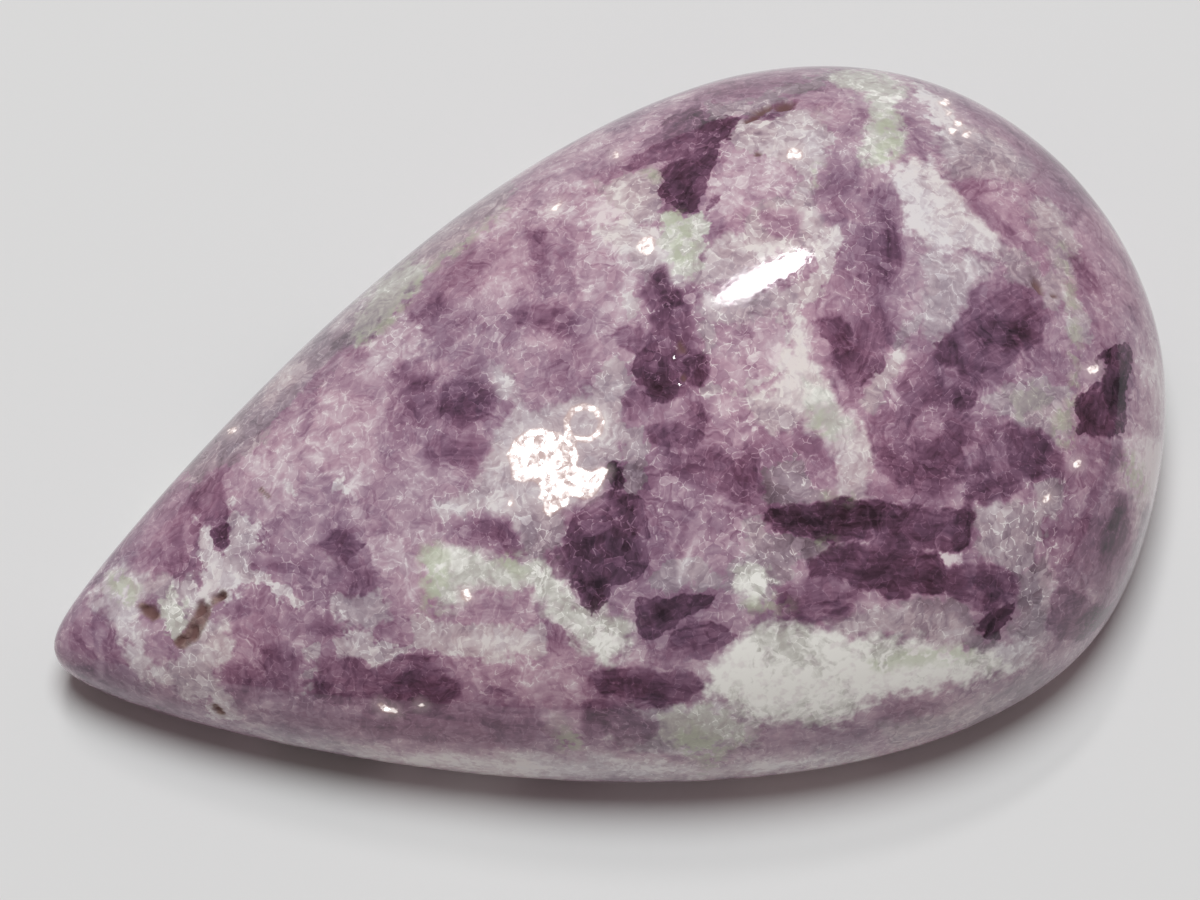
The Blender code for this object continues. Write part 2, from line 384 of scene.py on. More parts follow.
# mineral outlines as they show in the photograph, by pixel, with how light each is, from 0 to 1, and how
# soft its edge is in mm, where 0 leaves that to chance; a later patch lies over an earlier one; a few of them
# are painted sheen, painted glare and a painted glint, marked where they stand
minerals = dict(
    plum=dict(
        tipBody=(0.48, 0.12, [(50, 655), (73, 620), (92, 618), (104, 632), (116, 656), (138, 676), (146, 690),
            (138, 699), (91, 682)]),
        tipShoulder=(0.54, 0.3, [(118, 556), (165, 505), (192, 520), (196, 552), (180, 560), (160, 566),
            (140, 572)]),
        tipBand=(0.46, 0.0, [(176, 505), (206, 472), (222, 468), (227, 494), (226, 520), (205, 524),
            (194, 512)]),
        tipWedge=(0.44, 0.1, [(168, 553), (190, 553), (193, 572), (182, 588), (172, 575)]),
        tipChip=(0.24, 0.05, [(212, 526), (230, 525), (230, 540), (224, 548), (214, 540)]),
        underTip=(0.46, 0.2, [(152, 684), (172, 682), (186, 700), (176, 712), (155, 706)]),
        lowerTipA=(0.38, 0.12, [(226, 666), (240, 660), (262, 668), (262, 698), (240, 706), (226, 692)]),
        lowerTipB=(0.42, 0.0, [(262, 644), (284, 642), (303, 655), (306, 684), (294, 700), (262, 698)]),
        lowerTipC=(0.34, 0.12, [(316, 660), (340, 656), (366, 662), (366, 704), (330, 712), (312, 700)]),
        leftHaze=(0.50, 0.3, [(238, 552), (262, 545), (300, 556), (345, 560), (350, 588), (300, 590),
            (268, 574)]),
        leftBlade=(0.36, 0.20, [(311, 547), (330, 530), (350, 526), (358, 544), (362, 562), (362, 590),
            (350, 600), (345, 582), (330, 560)]),
        leftBladeHeart=(0.24, 0.06, [(313, 547), (336, 528), (356, 536), (366, 545), (352, 556), (325, 557)]),
        leftBladeFoot=(0.40, 0.2, [(350, 562), (372, 566), (374, 592), (356, 594)]),
        leftFoot=(0.42, 0.2, [(304, 612), (330, 618), (342, 630), (330, 642), (306, 636)]),
        upperLeft=(0.46, 0.2, [(412, 303), (430, 278), (450, 262), (480, 254), (508, 242), (500, 262),
            (484, 272), (482, 296), (480, 326), (440, 334), (424, 322), (410, 322)]),
        upperLeftHeart=(0.46, 0.15, [(426, 292), (450, 272), (464, 276), (460, 318), (438, 322)]),
        upperLeftRim=(0.50, 0.15, [(300, 388), (330, 355), (352, 340), (352, 352), (332, 372), (308, 396)]),
        upperChip=(0.44, 0.15, [(530, 232), (540, 224), (548, 238), (552, 266), (544, 276), (536, 270),
            (531, 254)]),
        upperDot=(0.36, 0.1, [(534, 232), (546, 228), (550, 242), (538, 246)]),
        middleBand=(0.36, 0.15, [(512, 306), (540, 298), (564, 306), (574, 320), (566, 334), (540, 332),
            (518, 324)]),
        middleMottle=(0.64, 0.30, [(512, 340), (585, 336), (594, 372), (560, 400), (520, 402)]),
        middleChipA=(0.40, 0.12, [(612, 328), (636, 320), (646, 336), (634, 350), (616, 346)]),
        westBed=(0.58, 0.3, [(420, 372), (446, 356), (490, 362), (494, 384), (494, 420), (460, 440),
            (430, 432), (412, 404)]),
        centreLeft=(0.42, 0.1, [(408, 376), (424, 368), (440, 376), (430, 388), (412, 388)]),
        centreLeftBand=(0.37, 0.12, [(444, 385), (462, 377), (488, 388), (498, 404), (482, 420), (462, 428),
            (446, 424), (436, 408)]),
        centreFoot=(0.38, 0.2, [(424, 440), (448, 432), (486, 428), (492, 452), (480, 474), (458, 470),
            (430, 460)]),
        brownBed=(0.40, 0.15, [(448, 530), (468, 516), (490, 512), (506, 516), (518, 534), (522, 550),
            (500, 552), (470, 548)]),
        brownCrystal=(0.30, 0.08, [(472, 522), (488, 515), (502, 518), (511, 536), (500, 541), (480, 538)]),
        nightEdge=(0.42, 0.1, [(544, 548), (560, 540), (570, 556), (572, 580), (556, 578), (546, 564)]),
        bottomHaze=(0.43, 0.30, [(230, 706), (300, 700), (366, 712), (480, 704), (560, 708), (560, 738),
            (500, 750), (400, 746), (300, 730), (240, 716)]),
        bottomBed=(0.31, 0.12, [(352, 672), (398, 658), (428, 656), (444, 670), (460, 684), (456, 704),
            (440, 716), (400, 722), (360, 710)]),
        bottomBedHeart=(0.22, 0.15, [(390, 682), (420, 672), (446, 680), (444, 704), (410, 712), (392, 704)]),
        lensMauve=(0.52, 0.1, [(455, 610), (482, 602), (516, 606), (512, 620), (470, 622)]),
        bottomCrumbs=(0.70, 0.2, [(533, 694), (575, 690), (614, 704), (612, 726), (570, 732), (540, 716)]),
        smallFlag=(0.47, 0.06, [(544, 622), (562, 622), (572, 640), (560, 652), (546, 648)]),
        smallTile=(0.62, 0.06, [(383, 624), (410, 621), (415, 634), (410, 646), (390, 642)]),
        topBlock=(0.34, 0.04, [(695, 101), (668, 118), (661, 130), (648, 142), (634, 156), (620, 176),
            (640, 170), (656, 166), (684, 156), (703, 130), (706, 114)]),
        topNight=(0.19, 0.04, [(664, 166), (684, 156), (700, 136), (703, 119), (735, 118), (742, 122),
            (730, 137), (712, 149), (716, 165), (706, 186), (700, 214), (684, 211), (664, 201), (657, 196),
            (664, 182), (659, 172)]),
        topNightSheen=(0.30, 0.12, [(700, 122), (730, 119), (720, 136), (706, 146), (694, 160), (680, 160),
            (694, 142)]),
        topRim=(0.44, 0.15, [(695, 98), (722, 84), (762, 74), (800, 70), (800, 80), (762, 90), (722, 104)]),
        topRose=(0.58, 0.25, [(800, 96), (836, 92), (850, 110), (846, 130), (826, 124), (804, 112)]),
        creviceBank=(0.36, 0.06, [(742, 122), (756, 110), (776, 102), (796, 99), (798, 108), (784, 112),
            (760, 120)]),
        vugEdge=(0.26, 0.05, [(712, 196), (718, 198), (716, 206), (708, 214), (704, 210)]),
        netBlock=(0.48, 0.2, [(756, 214), (790, 206), (806, 214), (800, 236), (770, 240)]),
        heart=(0.52, 0.0, [(820, 182), (834, 168), (858, 170), (884, 186), (900, 196), (906, 228), (910, 250),
            (902, 276), (896, 300), (888, 330), (876, 352), (866, 376), (850, 392), (842, 396), (834, 372),
            (826, 346), (816, 322), (832, 300), (838, 262), (842, 240), (838, 222), (824, 226), (817, 204)]),
        heartTop=(0.50, 0.1, [(822, 184), (836, 170), (856, 172), (866, 184), (850, 200), (832, 214),
            (820, 204)]),
        heartNight=(0.34, 0.20, [(882, 212), (898, 206), (906, 240), (900, 270), (888, 290), (878, 268),
            (884, 240)]),
        heartFoot=(0.25, 0.05, [(812, 322), (838, 314), (858, 330), (880, 350), (886, 372), (862, 384),
            (840, 380), (828, 350)]),
        heartRose=(0.38, 0.2, [(856, 320), (880, 300), (888, 330), (872, 372), (852, 388), (846, 372)]),
        upperRightBar=(0.44, 0.2, [(956, 186), (968, 180), (984, 190), (1000, 204), (1016, 222), (1026, 244),
            (1010, 240), (990, 222), (970, 206)]),
        rimRight=(0.50, 0.35, [(940, 88), (1010, 118), (1060, 158), (1110, 220), (1140, 280), (1128, 292),
            (1090, 232), (1045, 180), (990, 130)]),
        eastChip=(0.38, 0.15, [(1072, 259), (1092, 265), (1106, 277), (1100, 293), (1084, 290), (1074, 275)]),
        eastBase=(0.38, 0.12, [(890, 384), (910, 360), (946, 344), (960, 318), (978, 288), (1010, 280),
            (1044, 292), (1048, 320), (1042, 345), (1018, 353), (1006, 378), (962, 392), (930, 410),
            (900, 404)]),
        eastDark=(0.28, 0.05, [(936, 344), (956, 340), (968, 346), (966, 374), (950, 380), (936, 364)]),
        eastShadow=(0.28, 0.05, [(978, 326), (1000, 316), (1032, 322), (1034, 340), (1006, 346), (984, 342)]),
        eastTongue=(0.22, 0.08, [(914, 408), (930, 396), (960, 388), (980, 398), (970, 410), (940, 418)]),
        eastLowBase=(0.31, 0.20, [(868, 426), (886, 408), (920, 408), (950, 408), (990, 418), (1040, 432),
            (1062, 450), (1058, 476), (1020, 480), (985, 474), (930, 498), (900, 490), (880, 468)]),
        eastPlum=(0.37, 0.1, [(868, 430), (872, 416), (886, 406), (916, 412), (926, 436), (930, 456),
            (908, 460), (888, 450), (876, 444)]),
        eastSpine=(0.27, 0.12, [(942, 424), (960, 420), (966, 446), (950, 462), (924, 460), (928, 446),
            (940, 440)]),
        eastStump=(0.30, 0.1, [(1008, 422), (1024, 424), (1026, 450), (1012, 452)]),
        eastTaupe=(0.42, 0.06, [(980, 424), (1004, 420), (1010, 468), (992, 474), (982, 450)]),
        eastWeb=(0.50, 0.10, [(918, 418), (940, 414), (946, 436), (930, 444), (916, 434)]),
        eastChipA=(0.60, 0.06, [(940, 370), (962, 368), (964, 384), (946, 388)]),
        eastWebFoot=(0.56, 0.08, [(960, 446), (978, 440), (984, 460), (966, 468)]),
        eastRedBlock=(0.44, 0.05, [(872, 418), (900, 412), (914, 424), (912, 444), (886, 446), (870, 434)]),
        eastFoot=(0.20, 0.15, [(962, 502), (972, 484), (990, 476), (1014, 470), (1028, 484), (1010, 500),
            (984, 508)]),
        darkTower=(0.13, 0.04, [(1096, 362), (1112, 346), (1132, 345), (1128, 384), (1125, 431), (1116, 436),
            (1077, 431), (1080, 396), (1095, 382), (1109, 377), (1108, 368)]),
        towerFoot=(0.50, 0.15, [(1074, 440), (1122, 438), (1126, 462), (1112, 492), (1090, 486),
            (1076, 462)]),
        eastRimLow=(0.42, 0.3, [(1060, 560), (1074, 512), (1100, 500), (1122, 494), (1134, 512), (1128, 560),
            (1112, 600), (1086, 596), (1066, 584)]),
        longBand=(0.15, 0.10, [(759, 514), (770, 506), (800, 501), (842, 498), (880, 499), (906, 506),
            (928, 510), (950, 508), (966, 505), (976, 518), (970, 533), (962, 550), (928, 554), (899, 552),
            (880, 544), (842, 543), (807, 540), (778, 532)]),
        longBandEnd=(0.24, 0.20, [(906, 508), (950, 510), (972, 512), (968, 532), (956, 548), (916, 550),
            (904, 530)]),
        lowerMauve=(0.36, 0.2, [(772, 606), (780, 590), (804, 572), (842, 580), (866, 592), (852, 610),
            (824, 624), (790, 624)]),
        lowerBand=(0.09, 0.10, [(804, 560), (832, 547), (872, 541), (902, 545), (930, 556), (950, 565),
            (940, 592), (910, 595), (862, 592), (842, 582), (806, 574)]),
        lowerBandEnd=(0.24, 0.12, [(940, 566), (970, 562), (1004, 568), (1019, 578), (1020, 598), (996, 612),
            (980, 612), (964, 602), (942, 594)]),
        splinter=(0.13, 0.04, [(1019, 598), (1014, 616), (1000, 640), (988, 636), (976, 625), (986, 616),
            (1002, 610)]),
        southEast=(0.25, 0.12, [(1050, 600), (1064, 588), (1080, 592), (1094, 604), (1106, 604), (1112, 612),
            (1098, 628), (1080, 642), (1060, 640), (1046, 624)]),
        eastLens=(0.27, 0.15, [(1106, 508), (1122, 504), (1130, 516), (1128, 540), (1116, 562), (1104, 570),
            (1098, 556), (1102, 530)]),
        southEastLow=(0.40, 0.2, [(888, 708), (908, 698), (936, 702), (948, 712), (915, 719), (894, 714)]),
        southLens=(0.54, 0.15, [(814, 735), (830, 727), (858, 730), (852, 739), (830, 741)]),
        southRose=(0.62, 0.25, [(756, 734), (790, 726), (820, 732), (812, 748), (770, 754)]),
        smoke=(0.32, 0.2, [(646, 276), (662, 266), (680, 286), (690, 302), (690, 330), (698, 352), (692, 384),
            (680, 398), (664, 398), (654, 370), (650, 340), (648, 306)]),
        northSmoke=(0.20, 0.15, [(652, 276), (664, 270), (682, 288), (688, 302), (672, 316), (658, 328),
            (654, 312), (664, 298)]),
        centreGrey=(0.26, 0.05, [(633, 356), (645, 344), (660, 338), (670, 348), (676, 362), (680, 384),
            (668, 404), (650, 404), (638, 388), (630, 372)]),
        centreGreyHeart=(0.16, 0.12, [(646, 386), (672, 378), (682, 394), (662, 404), (648, 400)]),
        eastSmoke=(0.22, 0.12, [(686, 358), (706, 352), (714, 370), (706, 384), (690, 384)]),
        centreChip=(0.42, 0.05, [(622, 396), (638, 392), (646, 406), (640, 420), (624, 416)]),
        centreSlab=(0.31, 0.08, [(645, 424), (670, 420), (684, 426), (686, 404), (702, 400), (704, 446),
            (684, 452), (650, 448)]),
        centreBlock=(0.36, 0.2, [(664, 456), (700, 452), (730, 456), (758, 450), (762, 478), (764, 500),
            (740, 506), (716, 488), (690, 492), (668, 478)]),
        centreRib=(0.34, 0.12, [(728, 458), (754, 452), (762, 470), (762, 498), (744, 508), (730, 496)]),
        centreWedge=(0.13, 0.04, [(604, 482), (614, 461), (621, 464), (629, 490), (614, 493)]),
        eastLilac=(0.53, 0.12, [(806, 458), (832, 456), (842, 474), (836, 488), (812, 486)]),
        nightCrystal=(0.22, 0.04, [(560, 545), (568, 524), (580, 510), (604, 494), (640, 493), (646, 520),
            (646, 566), (636, 577), (612, 588), (606, 604), (592, 611), (582, 600), (568, 582), (566, 560)]),
        nightSheen=(0.34, 0.15, [(572, 518), (596, 502), (618, 500), (622, 520), (604, 532), (580, 536)]),
        nightPool=(0.09, 0.12, [(580, 580), (606, 578), (606, 602), (592, 608)]),
        nightSliver=(0.36, 0.04, [(630, 498), (642, 496), (648, 560), (638, 558)]),
        nightFoot=(0.20, 0.05, [(637, 600), (676, 594), (716, 594), (709, 607), (682, 618), (674, 630),
            (656, 640), (646, 644), (638, 628)]),
        southPlum=(0.28, 0.06, [(668, 640), (690, 622), (713, 618), (738, 635), (727, 647), (700, 660),
            (680, 664), (662, 658)]),
        southMauve=(0.30, 0.2, [(650, 644), (676, 650), (700, 660), (688, 668), (650, 664)]),
        southBed=(0.25, 0.12, [(588, 677), (604, 668), (650, 668), (686, 668), (704, 684), (690, 698),
            (660, 708), (630, 700), (600, 696)]),
        southBedHeart=(0.19, 0.15, [(620, 676), (670, 674), (690, 686), (660, 700), (630, 692)]),
        southFlag=(0.38, 0.15, [(582, 700), (604, 698), (640, 712), (650, 728), (606, 736), (584, 730)]),
        southSmoke=(0.44, 0.2, [(606, 720), (640, 714), (660, 726), (650, 744), (614, 742)]),
    ),
    blush=dict(
        leftField=(0.65, 0.30, [(322, 384), (352, 350), (390, 352), (398, 384), (380, 402), (376, 440),
            (340, 440), (312, 420)]),
        leftFieldLow=(0.65, 0.30, [(262, 470), (300, 440), (340, 440), (376, 440), (440, 450), (470, 480),
            (430, 510), (360, 520), (300, 520)]),
        leftCream=(0.76, 0.2, [(226, 470), (250, 452), (290, 440), (300, 470), (290, 516), (262, 526),
            (236, 506)]),
        westCream=(0.88, 0.2, [(364, 350), (376, 322), (396, 306), (420, 312), (428, 340), (410, 362),
            (384, 368)]),
        westPale=(0.64, 0.2, [(450, 318), (508, 310), (514, 340), (480, 352), (456, 344)]),
        westWeb=(0.60, 0.15, [(392, 404), (410, 396), (436, 408), (448, 426), (430, 434), (406, 428),
            (394, 416)]),
        leftRose=(0.54, 0.2, [(296, 520), (320, 500), (350, 500), (350, 516), (320, 536), (300, 540)]),
        lowLeft=(0.52, 0.15, [(243, 600), (262, 582), (290, 600), (304, 622), (296, 640), (246, 640),
            (226, 628)]),
        cells=(0.70, 0.1, [(380, 560), (400, 552), (418, 570), (420, 606), (392, 608), (378, 590)]),
        cellsTop=(0.90, 0.15, [(368, 544), (384, 532), (402, 540), (404, 562), (386, 570), (370, 564)]),
        tipPlane=(0.70, 0.1, [(134, 622), (160, 622), (176, 634), (178, 650), (166, 662), (150, 658)]),
        upperBlock=(0.64, 0.05, [(470, 288), (480, 268), (500, 260), (512, 272), (510, 304), (480, 308)]),
        upperField=(0.82, 0.20, [(576, 246), (600, 232), (640, 242), (646, 270), (632, 300), (600, 314),
            (584, 300), (572, 272)]),
        upperRose=(0.64, 0.1, [(606, 268), (622, 262), (624, 290), (608, 294)]),
        topField=(0.78, 0.2, [(540, 190), (560, 176), (600, 180), (640, 215), (600, 228), (540, 216)]),
        topEdge=(0.66, 0.3, [(540, 176), (600, 130), (650, 108), (664, 118), (640, 140), (612, 176),
            (566, 186)]),
        eastOfBlock=(0.74, 0.2, [(718, 152), (742, 146), (790, 166), (800, 180), (782, 196), (744, 212),
            (716, 222), (704, 214), (712, 186)]),
        smallClear=(0.54, 0.08, [(704, 228), (716, 222), (725, 232), (716, 240), (706, 238)]),
        belowGreen=(0.66, 0.1, [(690, 274), (712, 264), (736, 262), (740, 280), (722, 296), (698, 300)]),
        eastOfSmoke=(0.78, 0.3, [(716, 330), (745, 320), (752, 350), (752, 384), (716, 386)]),
        middlePale=(0.80, 0.30, [(580, 306), (612, 300), (640, 296), (644, 330), (632, 352), (628, 384),
            (604, 392), (588, 360), (578, 330)]),
        paleDisc=(0.84, 0.1, [(752, 318), (776, 312), (790, 338), (786, 368), (762, 382), (752, 360)]),
        pinkRidge=(0.66, 0.1, [(703, 392), (760, 388), (786, 400), (790, 430), (770, 440), (742, 446),
            (736, 456), (716, 452), (708, 430)]),
        centreWide=(0.57, 0.12, [(646, 496), (700, 492), (738, 508), (742, 530), (726, 556), (710, 570),
            (690, 560), (648, 556)]),
        southWest=(0.80, 0.25, [(522, 672), (560, 664), (580, 680), (575, 700), (545, 705), (524, 694)]),
        eastLeaf=(0.70, 0.15, [(1040, 322), (1070, 318), (1072, 350), (1050, 352), (1034, 342)]),
        rimPink=(0.72, 0.3, [(1136, 330), (1152, 340), (1170, 400), (1166, 470), (1152, 520), (1130, 480),
            (1128, 400)]),
        rimPale=(0.96, 0.3, [(1110, 440), (1136, 430), (1164, 440), (1160, 490), (1140, 520), (1112, 500)]),
        rimPinkHigh=(0.50, 0.3, [(1000, 104), (1060, 150), (1110, 210), (1150, 290), (1140, 330), (1120, 290),
            (1080, 220), (1040, 170)]),
        # pale salmon crystals, with a pinkish glint painted in as part of their lightness
        salmonChipAndGlint=(1.00, 0.12, [(926, 574), (930, 562), (946, 552), (960, 550), (962, 560), (950, 570),
            (938, 576)]),
    ),
    frost=dict(
        # painted sheen: a grey band along the upper left rim, where the rim mirrors its surroundings
        upperLeftRimSheen=(0.55, 0.10, [(170, 445), (250, 362), (330, 290), (420, 228), (520, 172), (500, 212),
            (470, 238), (430, 270), (384, 318), (365, 337), (340, 358), (322, 380), (297, 399), (274, 426),
            (256, 450), (237, 461), (222, 472), (214, 500), (196, 500)]),
        upperRimFrost=(0.60, 0.15, [(350, 330), (372, 300), (400, 276), (414, 280), (400, 304), (384, 318),
            (366, 340), (352, 346)]),
        tipCream=(0.92, 0.3, [(92, 606), (100, 578), (126, 560), (150, 572), (160, 590), (140, 604),
            (134, 622), (150, 660), (140, 660), (122, 636), (106, 616)]),
        tipCreamFoot=(0.94, 0.2, [(116, 640), (130, 640), (150, 656), (158, 680), (148, 690), (130, 668)]),
        tipFrost=(0.76, 0.2, [(140, 575), (168, 580), (196, 570), (205, 596), (190, 620), (178, 634),
            (160, 620), (160, 600), (144, 596)]),
        tipCollar=(0.90, 0.2, [(150, 660), (168, 662), (184, 640), (206, 622), (226, 620), (230, 650),
            (218, 672), (224, 694), (200, 702), (180, 690), (160, 680)]),
        neck=(0.94, 0.1, [(196, 508), (206, 520), (214, 548), (226, 552), (232, 530), (232, 494), (252, 520),
            (262, 545), (250, 566), (236, 596), (216, 604), (200, 596), (204, 562), (198, 540)]),
        neckArm=(0.84, 0.06, [(236, 560), (262, 572), (290, 586), (302, 602), (294, 608), (268, 588),
            (240, 590)]),
        underTipPale=(0.92, 0.1, [(205, 694), (226, 694), (240, 716), (226, 724), (210, 716)]),
        leftGrey=(0.82, 0.15, [(330, 592), (350, 598), (384, 596), (392, 618), (360, 632), (336, 622)]),
        leftWing=(0.66, 0.1, [(322, 556), (340, 560), (346, 570), (330, 574)]),
        leftSliver=(0.76, 0.06, [(306, 648), (315, 650), (316, 690), (306, 694)]),
        ledge=(0.84, 0.05, [(330, 640), (350, 632), (383, 640), (410, 648), (400, 662), (372, 668),
            (356, 660), (336, 656)]),
        westBright=(0.80, 0.2, [(462, 372), (490, 364), (516, 372), (520, 400), (500, 404), (480, 396)]),
        brightPatch=(0.86, 0.15, [(495, 382), (512, 376), (522, 390), (512, 402), (498, 398)]),
        brightDot=(0.86, 0.08, [(330, 476), (344, 478), (346, 490), (334, 492)]),
        tinyDot=(0.86, 0.08, [(284, 482), (294, 482), (294, 490), (286, 488)]),
        flashBed=(0.80, 0.2, [(492, 440), (520, 410), (560, 404), (610, 380), (622, 396), (622, 460),
            (604, 470), (600, 492), (562, 512), (560, 536), (545, 548), (520, 545), (508, 520), (480, 508),
            (440, 520), (438, 505), (480, 482)]),
        cheek=(0.84, 0.06, [(600, 364), (618, 358), (630, 368), (628, 382), (622, 398), (612, 402),
            (598, 392)]),
        greyCorner=(0.64, 0.08, [(522, 520), (545, 508), (560, 514), (560, 540), (545, 560), (524, 550)]),
        pinkCream=(0.80, 0.12, [(412, 622), (455, 622), (515, 622), (544, 628), (545, 654), (500, 660),
            (440, 655), (414, 645)]),
        topCream=(0.75, 0.08, [(736, 124), (770, 112), (800, 110), (818, 114), (832, 140), (822, 160),
            (812, 180), (820, 200), (800, 208), (802, 172), (780, 158), (740, 150), (722, 144)]),
        topGrey=(0.60, 0.05, [(704, 104), (742, 97), (800, 80), (832, 70), (842, 80), (802, 92), (762, 108),
            (744, 118), (714, 118)]),
        topLeftCream=(0.72, 0.1, [(600, 186), (620, 178), (640, 172), (656, 176), (662, 198), (664, 214),
            (640, 226), (612, 212)]),
        # pale frost, made paler still as painted glare around the lamp's highlight
        saddleAndGlare=(0.80, 0.2, [(596, 228), (650, 226), (664, 244), (700, 256), (720, 236), (750, 232),
            (776, 246), (770, 268), (730, 282), (690, 284), (650, 290), (636, 270), (604, 240)]),
        fan=(0.68, 0.12, [(742, 214), (766, 200), (818, 190), (826, 214), (838, 236), (826, 256), (800, 252),
            (774, 250), (744, 240)]),
        hem=(0.84, 0.1, [(818, 226), (836, 222), (842, 240), (836, 270), (822, 300), (806, 306), (800, 290),
            (816, 262)]),
        # pale frost, made paler still as painted glare around the lamp's highlight
        smokeFrostAndGlare=(0.84, 0.2, [(700, 292), (730, 296), (768, 292), (800, 280), (812, 300), (790, 312),
            (764, 318), (745, 322), (716, 326), (706, 322), (700, 306)]),
        smokeWeb=(0.64, 0.15, [(700, 300), (716, 320), (718, 350), (708, 352), (700, 330)]),
        columnFrost=(0.67, 0.04, [(622, 421), (642, 420), (646, 470), (648, 482), (640, 493), (628, 490),
            (620, 462), (618, 440)]),
        arc=(0.82, 0.06, [(776, 308), (784, 312), (794, 338), (790, 366), (768, 386), (702, 396), (702, 388),
            (760, 380), (784, 362), (788, 338)]),
        kiteUpper=(0.86, 0.06, [(620, 300), (632, 294), (640, 306), (632, 318), (624, 318)]),
        flashHem=(0.90, 0.2, [(618, 226), (640, 220), (664, 232), (672, 262), (676, 288), (650, 276),
            (640, 262), (622, 250)]),
        rightCream=(1.00, 0.25, [(890, 178), (902, 166), (936, 158), (952, 180), (966, 205), (986, 214),
            (1002, 234), (1014, 252), (1004, 262), (972, 250), (950, 256), (930, 252), (914, 230),
            (904, 204)]),
        rightPale=(0.80, 0.3, [(926, 248), (950, 256), (972, 256), (1000, 264), (990, 278), (970, 292),
            (960, 330), (944, 348), (930, 336), (920, 304), (924, 276)]),
        sparkleField=(0.86, 0.12, [(906, 84), (926, 90), (946, 100), (966, 124), (974, 142), (958, 144),
            (940, 134), (930, 112)]),
        vugBank=(0.70, 0.12, [(1000, 252), (1016, 252), (1040, 272), (1062, 268), (1072, 300), (1056, 312),
            (1040, 300), (1016, 284), (1004, 268)]),
        eastVein=(0.74, 0.1, [(1060, 290), (1080, 300), (1090, 318), (1092, 344), (1078, 350), (1070, 330)]),
        beigeRim=(0.72, 0.3, [(936, 138), (960, 126), (1000, 126), (1040, 150), (1056, 178), (1030, 180),
            (990, 176), (950, 176)]),
        eastCream=(0.76, 0.25, [(1026, 206), (1050, 196), (1072, 226), (1080, 270), (1060, 280),
            (1040, 250)]),
        diagonal=(0.72, 0.15, [(914, 312), (926, 322), (908, 344), (896, 372), (884, 392), (872, 410),
            (862, 400), (880, 366), (896, 336)]),
        ridgePale=(0.86, 0.2, [(746, 398), (776, 390), (800, 400), (800, 428), (776, 430), (756, 420)]),
        heartBank=(0.93, 0.3, [(790, 312), (804, 318), (810, 346), (820, 372), (836, 400), (860, 420),
            (872, 440), (876, 462), (870, 482), (866, 498), (840, 500), (830, 480), (836, 446), (806, 434),
            (792, 414), (772, 396), (786, 372), (794, 344)]),
        sandPatch=(0.72, 0.15, [(984, 402), (1004, 386), (1040, 380), (1072, 386), (1074, 410), (1072, 440),
            (1056, 441), (1040, 430), (1000, 416)]),
        southEastFrost=(0.68, 0.12, [(970, 512), (986, 500), (1012, 500), (1034, 510), (1044, 530),
            (1036, 560), (1020, 572), (996, 562), (974, 550)]),
        southEastPale=(0.50, 0.25, [(1020, 574), (1046, 560), (1056, 590), (1046, 622), (1046, 640),
            (1012, 640), (1018, 612)]),
        eastGlitter=(0.74, 0.15, [(1030, 486), (1060, 476), (1068, 500), (1056, 524), (1036, 514)]),
        eastGap=(0.66, 0.12, [(1078, 586), (1084, 574), (1096, 566), (1106, 574), (1120, 568), (1128, 572),
            (1114, 596), (1098, 598)]),
        eastRimFrost=(0.70, 0.25, [(1132, 500), (1150, 500), (1156, 520), (1148, 544), (1134, 570),
            (1130, 562), (1136, 530)]),
        scallop=(0.64, 0.06, [(648, 572), (664, 562), (680, 560), (704, 556), (722, 574), (716, 592),
            (690, 590), (664, 592), (648, 594)]),
        net=(0.62, 0.12, [(743, 520), (756, 515), (772, 530), (792, 542), (800, 552), (786, 574), (772, 600),
            (760, 612), (734, 604), (720, 584), (738, 560), (748, 544)]),
        netStrip=(0.45, 0.05, [(778, 534), (807, 541), (842, 544), (866, 545), (832, 551), (806, 560),
            (790, 552)]),
        northBand=(0.56, 0.1, [(764, 470), (786, 460), (806, 462), (812, 486), (838, 490), (830, 498),
            (800, 499), (770, 500), (764, 488)]),
        footGrey=(0.84, 0.2, [(606, 716), (656, 706), (700, 700), (760, 712), (762, 740), (700, 758),
            (640, 752), (604, 738)]),
        albiteHem=(0.46, 0.15, [(900, 596), (940, 596), (966, 604), (984, 640), (1012, 646), (1030, 650),
            (1000, 668), (960, 640), (910, 630)]),
        southHaze=(0.66, 0.3, [(826, 616), (856, 606), (900, 604), (950, 610), (984, 640), (950, 646),
            (890, 636), (840, 636)]),
        lowRightRim=(0.86, 0.2, [(990, 650), (1006, 640), (1030, 636), (1046, 646), (1030, 664), (1004, 676),
            (990, 668)]),
        # painted sheen: pale hazy bands along the lower rims, where the stone turns under and mirrors the
        # floor
        lowerRightRimSheen=(0.54, 0.40, [(880, 724), (960, 706), (1040, 666), (1060, 680), (980, 730), (900, 752)]),
        lowerRimSheen=(0.73, 0.40, [(240, 724), (400, 752), (560, 758), (700, 766), (860, 748), (880, 764),
            (700, 784), (500, 780), (300, 752)]),
    ),
    albite=dict(
        southField=(0.98, 0.35, [(734, 644), (756, 627), (790, 623), (824, 630), (856, 640), (890, 638),
            (930, 642), (960, 652), (1000, 658), (1010, 668), (980, 678), (940, 688), (900, 690), (880, 700),
            (850, 716), (800, 726), (760, 722), (735, 708), (706, 690), (716, 665)]),
        centreBank=(0.80, 0.35, [(428, 548), (470, 550), (500, 556), (544, 560), (546, 586), (500, 592),
            (470, 588), (458, 604), (436, 612), (426, 580)]),
        centreSpine=(0.88, 0.35, [(519, 560), (556, 556), (570, 590), (584, 606), (608, 610), (636, 622),
            (630, 650), (604, 663), (580, 652), (570, 630), (545, 612), (530, 590)]),
        netHeart=(0.88, 0.2, [(740, 568), (760, 562), (774, 580), (766, 598), (748, 600), (734, 590)]),
